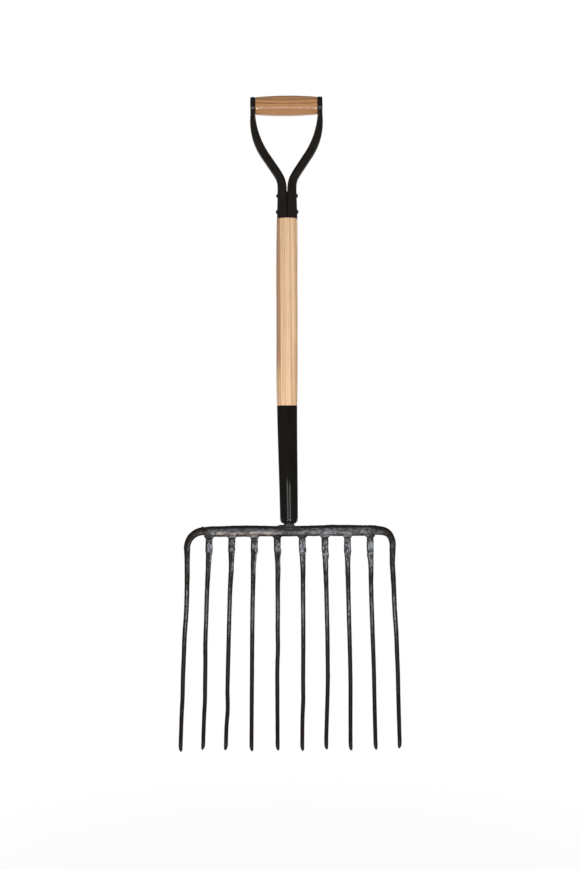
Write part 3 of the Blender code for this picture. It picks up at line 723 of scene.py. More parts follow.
def gloss_paint():
    """Smooth gloss black paint, with a long soft ripple from dipping and fine dust in it."""
    made, place = new_material("gloss_black")
    ripple = grain_noise(stretched(place, (1.0, 1.0, 0.12)), 160.0, 1.0)
    dust = grain_noise(place, 900.0)
    colour = blend(ramp(ripple, 0.3, 0.7), *GLOSS_BLACKS)
    rough = ramp(dust, 0.3, 0.8, 0.045, 0.070)
    return finished(made, "ferrule_paint", colour, rough, ripple, 0.00010, 0.10)


def stub_distance(x):
    """How far a place stands from the middle of the nearest stub."""
    from_first = math_node("SUBTRACT", math_node("ABSOLUTE", x), CENTRE_PITCH / 2)
    return math_node("PINGPONG", from_first, TINE_PITCH / 2)


def bar_wear_and_sheen(x, z):
    """Where the bar's paint is thin, with painted sheen in the same mask: in front and lightest low
    down, less at boss, ends and edges, and at the neck.
    """
    out = math_node("ABSOLUTE", x)
    below_edge = ramp(z, BAR_Z + 0.0063, BAR_Z + 0.0048)
    face = larger(below_edge, ramp(out, 0.024, 0.012))
    upper = ramp(x, 0.020, 0.050, 0.72, 0.95)
    # Painted sheen: the lower part of the bar's front, which faces the low lamps, is made lighter
    # than its upper part.
    lower = ramp(z, BAR_Z + 0.0030, BAR_Z - 0.0020, upper, 1.0)
    above_edge = ramp(z, BAR_Z - 0.0062, BAR_Z - 0.0044)
    web = times(
        ramp(stub_distance(x), 0.0095, 0.0060),
        ramp(out, 0.035, 0.050, 0.0, 0.8),
        ramp(x, -0.140, -0.120, 0.25, 1.0),
        ramp(z, BAR_Z - 0.0118, BAR_Z - 0.0098),
    )
    before_end = ramp(out, BAR_HALF_LENGTH - 0.001, BAR_HALF_LENGTH - 0.018)
    past_boss = ramp(out, 0.010, 0.026, 0.30, 1.0)
    level = times(face, lower, larger(above_edge, web), before_end, past_boss)
    neck = ramp(out, NECK_RADIUS + 0.0020, NECK_RADIUS)
    above_bar = ramp(z, BAR_TOP_Z - 0.0010, BAR_TOP_Z, 0.0, 0.60)
    return larger(level, times(neck, above_bar))


def weld_painted_glint(x, z, normal):
    """Painted highlight where the welds shine: lighter where the hammered flats in front face the
    low lamps, thinning to a line down the tines.
    """
    start = ramp(z, BAR_Z - 0.0150, BAR_Z - 0.0260, 0.35, 1.0)
    end = ramp(z, BAR_Z - 0.0860, BAR_Z - 0.0600)
    aside = ramp(x, -0.010, 0.010, 0.36, 0.04)
    lean = ramp(z, BAR_Z - 0.0600, BAR_Z - 0.0100, -0.15, -0.50)
    # Painted highlight: the colour lightens where the surface faces forward and down, the way of
    # the low lamps.
    way = add(aside, "ShaderNodeCombineXYZ", {0: aside, 1: -0.97, 2: lean}).outputs[0]
    way = vector_node("NORMALIZE", way)[0]
    facing = vector_node("DOT_PRODUCT", normal, way)["Value"]
    line = ramp(x, -0.010, 0.010, 0.935, 0.972)
    least = ramp(z, BAR_Z - 0.0260, BAR_Z - 0.0500, 0.90, line)
    flat = ramp(math_node("SUBTRACT", facing, least), 0.0, 0.045)
    inner = ramp(math_node("ABSOLUTE", x), 0.172, 0.160, 0.30, 1.0)
    return times(start, end, flat, inner)


def scale_colour(x, z):
    """The colour of forge scale with painted sheen: grey, a painted highlight on the bar's lower
    part, pinkish on its left half, and paler painted sheen on the stubs.
    """
    # Painted highlight: the bar's lower part, which faces the low lamps, and the stubs below it get
    # lighter colours.
    low_highlight = ramp(z, BAR_Z + 0.0010, BAR_Z - 0.0020)
    leftward = times(ramp(x, -0.005, -0.035), ramp(x, -0.145, -0.125))
    return layered(SCALE_GREY_AND_SHEEN, (
        (low_highlight, LOW_EDGE_HIGHLIGHT),
        (times(low_highlight, leftward), PINK_EDGE_HIGHLIGHT),
        (ramp(z, BAR_Z - 0.0120, BAR_Z - 0.0150), STUB_SHEEN),
    ))


def forged_paint(name):
    """Gloss black paint over hammered steel: scale and painted sheen on the bar, painted highlights
    at the welds.
    """
    made, place = new_material(name)
    x, _, z = coordinates(place)
    normal = add(place, "ShaderNodeTexCoord").outputs["Normal"]
    along_bar = stretched(place, (0.45, 1.0, 1.0))
    along_rod = stretched(place, (1.0, 1.0, 0.40))
    patches = grain_noise(along_bar, 210.0, 4.0, 0.66, 0.8)
    scale = grain_noise(along_rod, 260.0, 3.0, 0.60, 0.5)
    pits = grain_noise(place, 520.0, 3.0, 0.6)
    patchy = ramp(patches, 0.42, 0.58, 0.14, 1.0)
    on_bar = times(bar_wear_and_sheen(x, z), patchy, ramp(pits, 0.30, 0.50, 0.55, 1.0))
    scaly = ramp(scale, 0.43, 0.60, 0.12, 1.0)
    weld_glint = times(weld_painted_glint(x, z, normal), scaly)
    # Painted light: the scale colour goes where the bar's sheen mask and the welds' painted
    # highlight are, so it stands partly for sheen and glints.
    scale_and_sheen = larger(on_bar, weld_glint)
    colour = blend(scale_and_sheen, FORGED_BLACK, scale_colour(x, z))
    near_bar = ramp(z, BAR_Z - 0.100, BAR_Z - 0.040, 0.64, 1.0)
    rough = times(ramp(patches, 0.30, 0.70, 0.34, 0.22), near_bar)
    upward = coordinates(normal)[2]
    rough = larger(rough, ramp(upward, 0.45, 0.80, 0.0, 0.80))
    rough = larger(rough, ramp(z, BAR_Z - 0.370, BAR_Z - 0.382, 0.0, 0.65))
    relief = math_node("MULTIPLY_ADD", pits, 0.40, patches)
    relief = times(relief, ramp(z, BAR_Z - 0.100, BAR_Z - 0.040, 0.03, 1.0))
    gloss = {"Specular IOR Level": 0.26}
    return finished(made, "forged_paint", colour, rough, relief, 0.0009, 0.5, gloss)


# Handle


def barrel_radius(share):
    """Radius of the hand grip's barrel, from 0 at one end to 1 at the other."""
    return mix(GRIP_END_RADIUS, GRIP_MID_RADIUS, sin(pi * share) ** GRIP_FULLNESS)


def make_hand_grip(finish):
    """The turned barrel, with softened edges, its two tenons and the hole for the rivet."""
    half = GRIP_LENGTH / 2
    end = half + GRIP_TENON_LENGTH
    tenon = EYE_RADIUS - EYE_WALL - GAP
    hole = GRIP_RIVET_RADIUS + GAP
    flank = half - GRIP_EDGE
    corner = (GRIP_END_RADIUS - GRIP_EDGE, flank)
    right = arc_points(corner, GRIP_EDGE, 0, pi / 2, steps=5)
    left = [(radius, -along) for radius, along in right[::-1]]
    shares = evenly(0, 1, steps=48)[1:-1]
    barrel = [(barrel_radius(share), mix(-flank, flank, share)) for share in shares]
    profile = [(hole, -end), (tenon, -end), (tenon, -half)] + left + barrel + right
    profile += [(tenon, half), (tenon, end), (hole, end)]
    turning = turned_about_x(profile, GRIP_Z, ends="around")
    add_piece("grip_barrel", turning, finish, ["hand_grip"], 50)


def rivet(radius, seat, head, z):
    """A rivet along X at height z: its shank out to the seat, and a head on each end."""
    half = [(radius, 0), (radius, seat)] + head
    profile = [(r, -along) for r, along in half[:0:-1]] + half
    return turned_about_x(profile, z, RIVET_SIDES)


def dome(radius, seat, height, tip, steps, fullness=1.0):
    """(radius, place) points up a domed head, from its rim at the seat to its small flat tip."""
    points = []
    for a in evenly(0, pi / 2, steps):
        points.append((max(radius * cos(a), tip), seat + height * sin(a) ** fullness))
    return points


def make_grip_rivet(finish):
    """The rivet along the grip, its flush cone heads a little domed by the set."""
    rim = CUP_FACE_X - GRIP_RIVET_DOME / 2
    head = dome(GRIP_RIVET_HEAD_RADIUS, rim, GRIP_RIVET_DOME, GRIP_RIVET_DOME / 4, steps=6)
    pin = rivet(GRIP_RIVET_RADIUS, CUP_FACE_X - GRIP_RIVET_HEAD_DEPTH, head, GRIP_Z)
    add_piece("grip_pin", pin, finish, ["grip_rivet"], 40)


def socket_radius(z):
    """Outer radius of the yoke's socket at height z."""
    return mix(SOCKET_TOP_RADIUS, SOCKET_BOTTOM_RADIUS, (SHELL_TOP_Z - z) / SOCKET_LENGTH)


def bend_stations(x, z, radius, angles):
    """(point, direction) stations round a bend of the arm that stands upright at (x, z)."""
    stations = []
    for a in angles:
        point = Vector((x + radius * (1 - cos(a)), 0, z + radius * sin(a)))
        stations.append((point, Vector((-sin(a), 0, -cos(a)))))
    return stations


def arm_path():
    """The stations down the right arm's middle, from the eye cup to the socket's end."""
    down = Vector((0, 0, -1))
    top = ARM_BEND_Z + ARM_BELOW_EYE + ARM_INSIDE_EYE
    heights = evenly(top, ARM_BEND_Z, steps=5)[:-1]
    stations = [(Vector((ARM_TOP_X, 0, z)), down) for z in heights]
    angles = evenly(0, ARM_ANGLE, steps=30)
    stations += bend_stations(ARM_TOP_X, ARM_BEND_Z, -ARM_UPPER_BEND, angles)
    start, slope = stations[-1]
    steps = 8
    for i in range(1, steps):
        stations.append((start + slope * ARM_STRAIGHT * i / steps, slope))
    angles = evenly(ARM_ANGLE, 0, steps=22)
    stations += bend_stations(ARM_BOTTOM_X, CROTCH_Z, ARM_LOWER_BEND, angles)
    heights = evenly(CROTCH_Z, SOCKET_BOTTOM_Z, steps=16)[1:]
    return stations + [(Vector((ARM_BOTTOM_X, 0, z)), down) for z in heights]


def sheet_places():
    """(share, inset) places across the sheet. The inset rounds off its two edges."""
    edge = SHEET_EDGE_ROUND / (pi * SOCKET_TOP_RADIUS)
    rounded = []
    for turn in evenly(0, pi / 2, steps=5):
        rounded.append((edge * (1 - cos(turn)), SHEET_EDGE_ROUND * (1 - sin(turn))))
    middle = [(share, 0) for share in evenly(edge, 1 - edge, SHEET_STEPS)[1:-1]]
    return rounded + middle + [(1 - share, inset) for share, inset in rounded[::-1]]


def tube_curve(point, direction, half_width, half_depth, rounding):
    """The arm's round section, from the seam on its inner side all round to the seam again."""
    outward = Vector((-direction.z, 0, direction.x))
    slit = asin(ARM_SLIT_HALF / half_depth)
    curve = []
    for share, inset in sheet_places():
        a = mix(pi - slit, slit - pi, share)
        along_x = outward * (half_width - inset * rounding) * cos(a)
        along_y = Vector((0, (half_depth - inset * rounding) * sin(a), 0))
        curve.append(point + along_x + along_y)
    return curve


def shell_curve(z, radius, rounding):
    """The socket's half round section, open towards the middle plane."""
    curve = []
    for share, inset in sheet_places():
        reach = radius - inset * rounding
        edge = acos(SEAM_HALF_GAP / reach)
        a = mix(edge, -edge, share)
        curve.append(Vector((reach * cos(a), reach * sin(a), z)))
    return curve


def arm_ring(point, direction):
    """One section of the bent sheet: its outer side, then its inner side back again."""
    flat = smooth((ARM_BEND_Z + ARM_BELOW_EYE - point.z) / ARM_FLATTENED_LENGTH)
    half_width = mix(ARM_NECK_HALF_WIDTH, ARM_HALF_WIDTH, sqrt(flat))
    half_depth = mix(ARM_NECK_HALF_DEPTH, ARM_HALF_DEPTH, flat)
    opened = smooth((SHELL_TOP_Z + SOCKET_OPENING_LENGTH - point.z) / SOCKET_OPENING_LENGTH)
    sides = []
    for depth, rounding in ((0, 1), (SHEET, 0)):
        tube = tube_curve(point, direction, half_width - depth, half_depth - depth, rounding)
        shell = shell_curve(point.z, socket_radius(min(point.z, SHELL_TOP_Z)) - depth, rounding)
        sides.append([a.lerp(b, opened) for a, b in zip(tube, shell)])
    return sides[0] + sides[1][::-1]


def eye_cup():
    """The right eye cup as a solid disc with a rounded outer edge."""
    inner = GRIP_LENGTH / 2 + GAP
    corner = (EYE_RADIUS - EYE_EDGE_RADIUS, CUP_FACE_X - EYE_EDGE_RADIUS)
    edge = arc_points(corner, EYE_EDGE_RADIUS, 0, pi / 2, steps=8)
    return turned_about_x([(EYE_RADIUS, inner)] + edge, GRIP_Z)


def eye_hollow():
    """What the right eye cup is hollowed by: the grip's seat, the rivet's hole and its cone."""
    floor = CUP_FACE_X - EYE_WALL
    head = CUP_FACE_X - GRIP_RIVET_HEAD_DEPTH
    past = CUP_FACE_X + GRIP_RIVET_HEAD_DEPTH
    hole = GRIP_RIVET_RADIUS + GAP
    mouth = GRIP_RIVET_HEAD_RADIUS + GAP
    profile = [
        (EYE_RADIUS - EYE_WALL, GRIP_LENGTH / 2 - GAP),
        (EYE_RADIUS - EYE_WALL, floor),
        (hole, floor),
        (hole, head),
        (2 * mouth - hole, past),
    ]
    return turned_about_x(profile, GRIP_Z, RIVET_SIDES)


def rivet_drills():
    """The holes of the two cross rivets, as Boolean tools."""
    reach = SOCKET_BOTTOM_RADIUS + CROSS_RIVET_HEAD_HEIGHT
    hole = [(CROSS_RIVET_RADIUS + GAP, along) for along in (-reach, reach)]
    heights = (UPPER_RIVET_Z, LOWER_RIVET_Z)
    return [("DIFFERENCE", turned_about_x(hole, z, DRILL_SIDES)) for z in heights]


def make_yoke(finish):
    """The two stampings of the yoke. The left one is the right one mirrored."""
    bm = bmesh.new()
    loft(bm, [arm_ring(point, direction) for point, direction in arm_path()], "sheet")
    tools = [("UNION", eye_cup()), ("DIFFERENCE", eye_hollow())] + rivet_drills()
    right = merged(combined(bm, tools), YOKE_VOXEL, YOKE_SOFTENING)
    left = right.copy()
    for vert in left.verts:
        vert.co.x = -vert.co.x
    add_piece("yoke_stamping_right", right, finish, ["yoke_right"])
    add_piece("yoke_stamping_left", left, finish, ["yoke_left"])


def make_cross_rivet(name, node, z, finish):
    """A rivet across the socket, with a set dome head on each side."""
    seat = socket_radius(z) + GAP
    radius = CROSS_RIVET_HEAD_RADIUS
    head = dome(radius, seat, CROSS_RIVET_HEAD_HEIGHT, radius / 40, 10, CROSS_RIVET_FULLNESS)
    add_piece(name, rivet(CROSS_RIVET_RADIUS, seat, head, z), finish, [node], 50)


def make_shaft(finish):
    """The wooden shaft with its two tenons, the tang's bore and the rivets' holes."""
    top = SOCKET_BOTTOM_Z - GAP
    bottom = FERRULE_TOP_Z + GAP
    fit = SHEET + GAP
    ferrule_fit = FERRULE_WALL + GAP
    profile = [
        (socket_radius(SHELL_TOP_Z) - fit - SHAFT_EDGE, SHELL_TOP_Z),
        (socket_radius(SHELL_TOP_Z) - fit, SHELL_TOP_Z - SHAFT_EDGE),
        (SOCKET_BOTTOM_RADIUS - fit, top),
    ]
    corner_steps = 4
    centre = (SHAFT_TOP_RADIUS - SHAFT_EDGE, top - SHAFT_EDGE)
    profile += arc_points(centre, SHAFT_EDGE, pi / 2, 0, corner_steps)
    for z in evenly(top - SHAFT_EDGE, bottom + SHAFT_EDGE, steps=60)[1:-1]:
        radius = mix(SHAFT_TOP_RADIUS, SHAFT_MID_RADIUS, smooth((top - z) / SHAFT_END_TAPER))
        waist = smooth((z - bottom) / SHAFT_END_TAPER)
        profile.append((min(radius, mix(SHAFT_BOTTOM_RADIUS, SHAFT_MID_RADIUS, waist)), z))
    centre = (SHAFT_BOTTOM_RADIUS - SHAFT_EDGE, bottom + SHAFT_EDGE)
    profile += arc_points(centre, SHAFT_EDGE, 0, -pi / 2, corner_steps)
    bore_top = SHAFT_BOTTOM_Z + TANG_LENGTH + TANG_TIP_ROOM
    profile += [
        (FERRULE_TOP_RADIUS - ferrule_fit, bottom),
        (FERRULE_BOTTOM_RADIUS - ferrule_fit, SHAFT_BOTTOM_Z),
        (TANG_BASE_RADIUS + GAP, SHAFT_BOTTOM_Z),
        (TANG_TIP_RADIUS + GAP, bore_top),
    ]
    drilled = combined(turned_about_z(profile), rivet_drills())
    add_piece("shaft_turning", drilled, finish, ["handle_shaft"], 40)


def make_ferrule(finish):
    """The long tapered cap, with a rounded bottom and a hole for the neck."""
    fillet = min(FERRULE_CORNER, FERRULE_BOTTOM_RADIUS - NECK_RADIUS - 2 * GAP)
    rise = fillet + FERRULE_CORNER_RISE
    lip = FERRULE_WALL / 3
    centre = (FERRULE_BOTTOM_RADIUS - fillet, FERRULE_BOTTOM_Z + fillet)
    profile = [(FERRULE_TOP_RADIUS - FERRULE_WALL, FERRULE_TOP_Z)]
    mouth = (FERRULE_TOP_RADIUS - lip, FERRULE_TOP_Z - lip)
    profile += arc_points(mouth, lip, pi / 2, 0, steps=4)
    for share in evenly(0, 1, steps=30)[1:-1]:
        z = mix(FERRULE_TOP_Z - lip, FERRULE_BOTTOM_Z + rise, share)
        profile.append((mix(FERRULE_TOP_RADIUS, FERRULE_BOTTOM_RADIUS, share), z))
    corner = arc_points(centre, fillet, 0, -pi / 2, steps=16)
    profile += [(r, mix(FERRULE_BOTTOM_Z, z, rise / fillet)) for r, z in corner]
    hole = NECK_RADIUS + GAP
    profile += [(hole, FERRULE_BOTTOM_Z), (hole, FERRULE_BOTTOM_Z + FERRULE_WALL)]
    profile += arc_points(centre, fillet - FERRULE_WALL, -pi / 2, 0, steps=8)
    add_piece("ferrule_cap", turned_about_z(profile, "around"), finish, ["ferrule"], 50)


# Head and tines


def dish(drop):
    """How far behind the bar's axis a tine runs, drop below it: a tight heel, then a long belly."""
    heel_drop = HEEL_RADIUS * (sin(ROOT_ANGLE) - sin(HEEL_ANGLE))
    if drop <= heel_drop:
        angle = asin(sin(ROOT_ANGLE) - drop / HEEL_RADIUS)
        return HEEL_RADIUS * (cos(angle) - cos(ROOT_ANGLE))
    angle = asin(sin(HEEL_ANGLE) - (drop - heel_drop) / BELLY_RADIUS)
    heel = HEEL_RADIUS * (cos(HEEL_ANGLE) - cos(ROOT_ANGLE))
    return heel + BELLY_RADIUS * (cos(angle) - cos(HEEL_ANGLE))


def is_outer(number):
    """Whether tine number is one of the two that bend round the ends of the bar."""
    return number in (0, TINES - 1)


def drift(number, share):
    """How far tine number stands aside of its root: its long curve and its kinks."""
    drop = share * TINE_DROP
    bends = [aside * bell(drop - at, reach) for at, aside, reach in KINKS.get(number, ())]
    return curve_through((0.0, *TINE_SHAPES[number][:3]), share) + sum(bends)


def root_x(number):
    """Where tine number hangs from the bar. The outer ones stand a bend's radius past its ends."""
    from_middle = number - (TINES - 1) / 2
    reach = CENTRE_PITCH / 2 + (abs(from_middle) - 0.5) * TINE_PITCH
    return copysign(OUTER_TINE_X if is_outer(number) else reach, from_middle)


def side_of(number):
    """-1 for a tine left of the middle, 1 for one right of it."""
    return copysign(1, root_x(number))


def tine_point(number, drop):
    """A point of tine number's centreline, drop below the bar's axis."""
    x = root_x(number) + drift(number, drop / TINE_DROP)
    return Vector((x, dish(drop), BAR_Z - drop))


def outer_bend_point(number, angle):
    """A point on the bend, a quarter turn, that brings an outer tine round from the bar's end."""
    side = side_of(number)
    fullness = BEND_FULLNESS[side > 0]
    drop = OUTER_BEND * (1 - max(0.0, cos(angle)) ** fullness)
    x = side * (BAR_HALF_LENGTH + OUTER_BEND * sin(angle) ** fullness)
    return Vector((x + drift(number, drop / TINE_DROP), dish(drop), BAR_Z - drop))


def tangent_at(number, drop):
    """The direction of tine number's centreline."""
    step = 0.0005
    return (tine_point(number, drop + step) - tine_point(number, drop - step)).normalized()


def section(point, tangent, half_width, half_depth, squareness, lean=0.0, flat=0.0):
    """A ring square to the tangent, from oval at squareness 2 to nearly square at 4.

    lean slants it along the tangent, and flat is the share of its depth that its front has lost.
    """
    depth_way = (Vector((0, 1, 0)) - tangent * tangent.y).normalized()
    width_way = tangent.cross(depth_way)
    power = 2 / squareness
    ring = []
    for i in range(ROD_SIDES):
        a = 2 * pi * (i + 0.5) / ROD_SIDES
        wide = copysign(abs(cos(a)) ** power, cos(a))
        deep = max(flat - 1, copysign(abs(sin(a)) ** power, sin(a)))
        slant = tangent * lean * half_depth * deep
        ring.append(point + width_way * half_width * wide + depth_way * half_depth * deep + slant)
    return ring


def point_share(drop, end):
    """How far along its point a tine has come: 0 above the point's shoulder, 1 at the tip."""
    return max(0.0, (drop - (end - POINT_LENGTH)) / POINT_LENGTH)


def tine_half_sizes(number, drop, end):
    """Half width and half depth of a tine's section."""
    outer = is_outer(number)
    blade = OUTER_BLADE_HALF_WIDTH if outer else BLADE_HALF_WIDTH
    weld = OUTER_BEND_HALF_WIDTH if outer else WELD_HALF_WIDTH
    weld_drop = OUTER_BEND if outer else STUB_DROP
    widths = (
        (0, ROOT_HALF_WIDTH),
        (weld_drop, weld),
        (mix(weld_drop, TAPER_DROP, TAPER_KNEE), mix(weld, blade, TAPER_KNEE_FALL)),
        (TAPER_DROP, blade),
        (end, POINT_HALF_WIDTH),
    )
    depths = (
        (0, ROOT_HALF_DEPTH),
        (weld_drop, WELD_HALF_DEPTH),
        (TAPER_DROP, BLADE_HALF_DEPTH),
        (end, POINT_HALF_DEPTH),
    )
    to_point = point_share(drop, end)
    blunt = sqrt(1 - min(1.0, to_point) ** POINT_BLUNTNESS)
    half_width = max(POINT_TIP_HALF, between(widths, drop) * blunt)
    thin = mix(POINT_HALF_DEPTH, POINT_TIP_HALF, to_point)
    half_depth = thin if to_point else between(depths, drop)
    return half_width, half_depth


def rod_ring(number, drop, end, lean=0.0, thinner=0.0):
    """A ring of a stub or tine: squarish at its root, swollen at its weld, round down its blade."""
    tangent = tangent_at(number, drop)
    half_width, half_depth = tine_half_sizes(number, drop, end)
    weld_drop, left, right = WELDS[number]
    swelling = bell(drop - weld_drop, WELD_LENGTH)
    to_point = point_share(drop, end)
    half_width += swelling * (left + right) / 2 + ROD_SWELL * (1 - to_point) - thinner
    aside = swelling * (right - left) / 2
    cut_to = 1 if noise.noise(Vector((number * 3.7, 0.5, 0.5))) > 0 else -1
    if is_outer(number):
        cut_to = -side_of(number)
        aside += cut_to * (ROD_SWELL + DENT_ROOM)
    aside += cut_to * POINT_ASIDE * to_point ** 2
    squareness = mix(ROOT_SQUARENESS, 2.0, smooth(drop / TAPER_DROP))
    flat = WELD_FLAT * max(0.0, 1 - abs(drop - weld_drop) / WELD_FLAT_LENGTH)
    if is_outer(number):
        flat = 0.0
    point = tine_point(number, drop) + Vector((aside, 0, 0))
    depth = half_depth - DENT_ROOM - thinner
    return section(point, tangent, half_width, depth, squareness, lean, flat)


def bar_ring(x):
    """The bar's section at x: flat on top, crowned in front and behind, narrower below.

    Towards both ends its underside rises, and towards the left end its top falls too.
    """
    past_boss = (abs(x) - BOSS_HALF_WIDTH / 2) / (BOSS_HALF_WIDTH / 2 + BOSS_BLEND)
    half_depth = mix(BOSS_HALF_DEPTH, BAR_HALF_DEPTH, smooth(past_boss))
    to_end = smooth((abs(x) - BAR_HALF_LENGTH + BAR_END_BLEND) / BAR_END_BLEND)
    height = mix(BAR_HEIGHT, BAR_END_HEIGHT, to_end)
    along = (abs(x) - BOSS_HALF_WIDTH) / (BAR_HALF_LENGTH - BOSS_HALF_WIDTH)
    top = BAR_Z + (BAR_HEIGHT if x > 0 else height) / 2
    top += BAR_ARCH * sin(pi * min(1.0, max(0.0, along))) ** 2
    lean = BAR_SCARF * to_end
    side = copysign(1, x)
    behind = [(0.62, 0.00), (0.92, 0.15), (1.00, 0.40), (0.94, 0.78), (0.55, 1.00)]
    in_front = [(-deep, down) for deep, down in behind]
    ring = []
    for deep, down in in_front[:1] + behind + in_front[:0:-1]:
        z = mix(top, BAR_Z - height / 2, down)
        ring.append(Vector((x + side * lean * (z - BAR_Z), half_depth * deep, z)))
    return ring


def make_fork_head(finish):
    """The forging: bar, eight stubs, neck and tang merged in one skin, then hammered."""
    bm = bmesh.new()
    end = BAR_HALF_LENGTH - GAP / 2
    loft(bm, [bar_ring(x) for x in evenly(-end, end, steps=160)])
    collar_top = SHAFT_BOTTOM_Z - GAP
    neck = [
        (NECK_RADIUS, BAR_Z),
        (NECK_RADIUS + NECK_FLARE, BAR_TOP_Z - NECK_FLARE),
        (NECK_RADIUS, BAR_TOP_Z + NECK_SHOWN / 2),
        (NECK_RADIUS, collar_top),
        (TANG_BASE_RADIUS, collar_top),
        (TANG_TIP_RADIUS, SHAFT_BOTTOM_Z + TANG_LENGTH),
    ]
    loft(bm, [ring_about_z(radius, z, NECK_SIDES) for radius, z in neck])
    add_shoulder(bm)
    for number in range(1, TINES - 1):
        add_stub(bm, number)
    head = merged(bm, HEAD_VOXEL, HEAD_SOFTENING)
    hammer(head, HEAD_MARKS, HEAD_SWELL)
    add_piece("forged_head", head, finish, ["fork_head"])


def add_shoulder(bm):
    """The low lump that the forging has on the bar beside its neck."""
    rings = []
    for share in evenly(-0.99, 0.99, steps=10):
        rise = SHOULDER_HEIGHT * sqrt(1 - share * share)
        x = SHOULDER_X + SHOULDER_HALF_WIDTH * share
        outline = [(BAR_HALF_DEPTH * c, BAR_TOP_Z + rise * s) for c, s in circle(ROD_SIDES)]
        rings.append([Vector((x, y, z)) for y, z in outline])
    loft(bm, rings)


def add_stub(bm, number):
    """The forged stub that a tine is welded to, with a fillet up to the bar."""
    underside = BAR_HEIGHT / 2
    rings = []
    for share in evenly(0, 1, steps=24):
        drop = mix(underside - STUB_FILLET, STUB_DROP + WELD_LAP, share)
        up_fillet = min(1.0, max(0.0, (underside + STUB_FILLET - drop) / STUB_FILLET))
        flare = STUB_FILLET * (1 - sqrt(1 - up_fillet * up_fillet))
        lean = STUB_SCARF * smooth(2 * share - 1)
        rings.append(rod_ring(number, drop, TINE_DROP, lean, -flare))
    loft(bm, rings)


def scarf_place(point, side):
    """Moves a point of the outer tine's first ring onto the bar's leaning end face."""
    return Vector((side * (BAR_HALF_LENGTH + BAR_SCARF * (point.z - BAR_Z)), point.y, point.z))


def outer_bend_rings(number):
    """The rings of an outer tine from the bar's end round its bend."""
    side = side_of(number)
    step = 0.01
    rings = []
    for share in evenly(0, 1, steps=26)[:-1]:
        angle = pi / 2 * share
        here = outer_bend_point(number, angle)
        tangent = (outer_bend_point(number, angle + step) - here).normalized()
        grown = smooth(share)
        thicker = ROOT_THICKER[side > 0]
        half_width = mix(OUTER_ROOT_HALF_WIDTH + thicker, OUTER_BEND_HALF_WIDTH, grown)
        half_depth = mix(OUTER_ROOT_HALF_DEPTH, WELD_HALF_DEPTH, grown)
        half_width += ROD_SWELL * grown
        here.x -= side * ROD_SWELL * grown
        here.z += ROOT_RISE[side > 0] * (1 - grown)
        squareness = mix(*BEND_SQUARENESS, grown)
        ring = section(here, tangent, half_width, half_depth - DENT_ROOM, squareness)
        if share == 0:
            gap = Vector((side * GAP / 2, 0, 0))
            ring = [scarf_place(p, side) + gap for p in ring]
        rings.append(ring)
    return rings


def scarf_bead(number):
    """The rings of the weld's bead that stands out round an outer tine's root."""
    side = side_of(number)
    here = outer_bend_point(number, 0) + Vector((0, 0, ROOT_RISE[side > 0]))
    rings = []
    for deep, high in circle(BEAD_STEPS):
        out = Vector((0, OUTER_ROOT_HALF_DEPTH * deep, OUTER_ROOT_HALF_WIDTH * high))
        ring = []
        for proud, along in circle(BEAD_SIDES):
            place = scarf_place(here + out * (1 + SCARF_BEAD / out.length * proud), side)
            ring.append(place + Vector((BEAD_STRETCH * SCARF_BEAD * along, 0, 0)))
        rings.append(ring)
    return rings


def marks_left(z):
    """The share of the hammer's marks that a tine has at a height: all at its weld, fewer below."""
    return mix(1.0, BLADE_MARKS, smooth((BAR_Z - STUB_DROP - z) / TAPER_DROP))


def make_tine(number, finish):
    """One tine, from its weld to its point, a little uneven from the hammer."""
    end = TINE_DROP - TINE_SHAPES[number][3]
    outer = is_outer(number)
    rings = outer_bend_rings(number) if outer else []
    start = OUTER_BEND if outer else STUB_DROP - WELD_LAP
    for drop in evenly(start, end - POINT_LENGTH, steps=180):
        thinner = 0.0 if outer else ROD_SWELL * smooth(1 - (drop - start) / (3 * WELD_LAP))
        rings.append(rod_ring(number, drop, end, thinner=thinner))
    for angle in evenly(0, pi / 2, steps=12)[1:]:
        rings.append(rod_ring(number, mix(end - POINT_LENGTH, end, sin(angle)), end))
    bm = bmesh.new()
    loft(bm, rings)
    if outer:
        loft(bm, scarf_bead(number), "around")
    face_out(bm)
    hammer(bm, TINE_MARKS, 0.0, marks_left)
    name = f"tine_{number + 1:02d}"
    add_piece(f"{name}_rod", bm, finish, [name], 50)


# Stage


def make_camera():
    """The photograph's view: level with the upper part of the ferrule, and rolled very slightly."""
    centre_z = GRIP_Z - (FRAME_HEIGHT / 2 - GRIP_ROW) * PIXEL
    centre_x = (FRAME_WIDTH / 2 - AXIS_COLUMN) * PIXEL
    data = bpy.data.cameras.new("camera")
    data.sensor_width = SENSOR
    data.lens = SENSOR * CAMERA_DISTANCE / (FRAME_HEIGHT * PIXEL)
    camera = new_object("camera", data)
    camera.location = (centre_x, -CAMERA_DISTANCE, centre_z)
    camera.rotation_mode = "XYZ"
    camera.rotation_euler = (radians(90), CAMERA_ROLL, 0)
    bpy.context.scene.camera = camera


def is_seen_ray(tree):
    """1 for a ray that shows the background itself: from the camera, in gloss or through glass."""
    path = add(tree, "ShaderNodeLightPath")
    seen = larger(path.outputs["Is Camera Ray"], path.outputs["Is Glossy Ray"])
    return larger(seen, path.outputs["Is Transmission Ray"])


def seen_level(room):
    """The strength of what is seen of the stage: white, but in gloss as dim as the room."""
    gloss = add(room, "ShaderNodeLightPath").outputs["Is Glossy Ray"]
    return ramp(times(room, gloss), 0.0, 1.0, 1.0, FRONT_LEVEL)


def show_white(tree, share, matt, white, level, output):
    """Links a stage's output: white at a level by share, and matt for the rest."""
    shown = add(tree, white, {"Color": WHITE, "Strength": level}).outputs[0]
    mixed = add(tree, "ShaderNodeMixShader", {0: share, 1: matt.outputs[0], 2: shown})
    add(tree, output, {"Surface": mixed.outputs[0]})


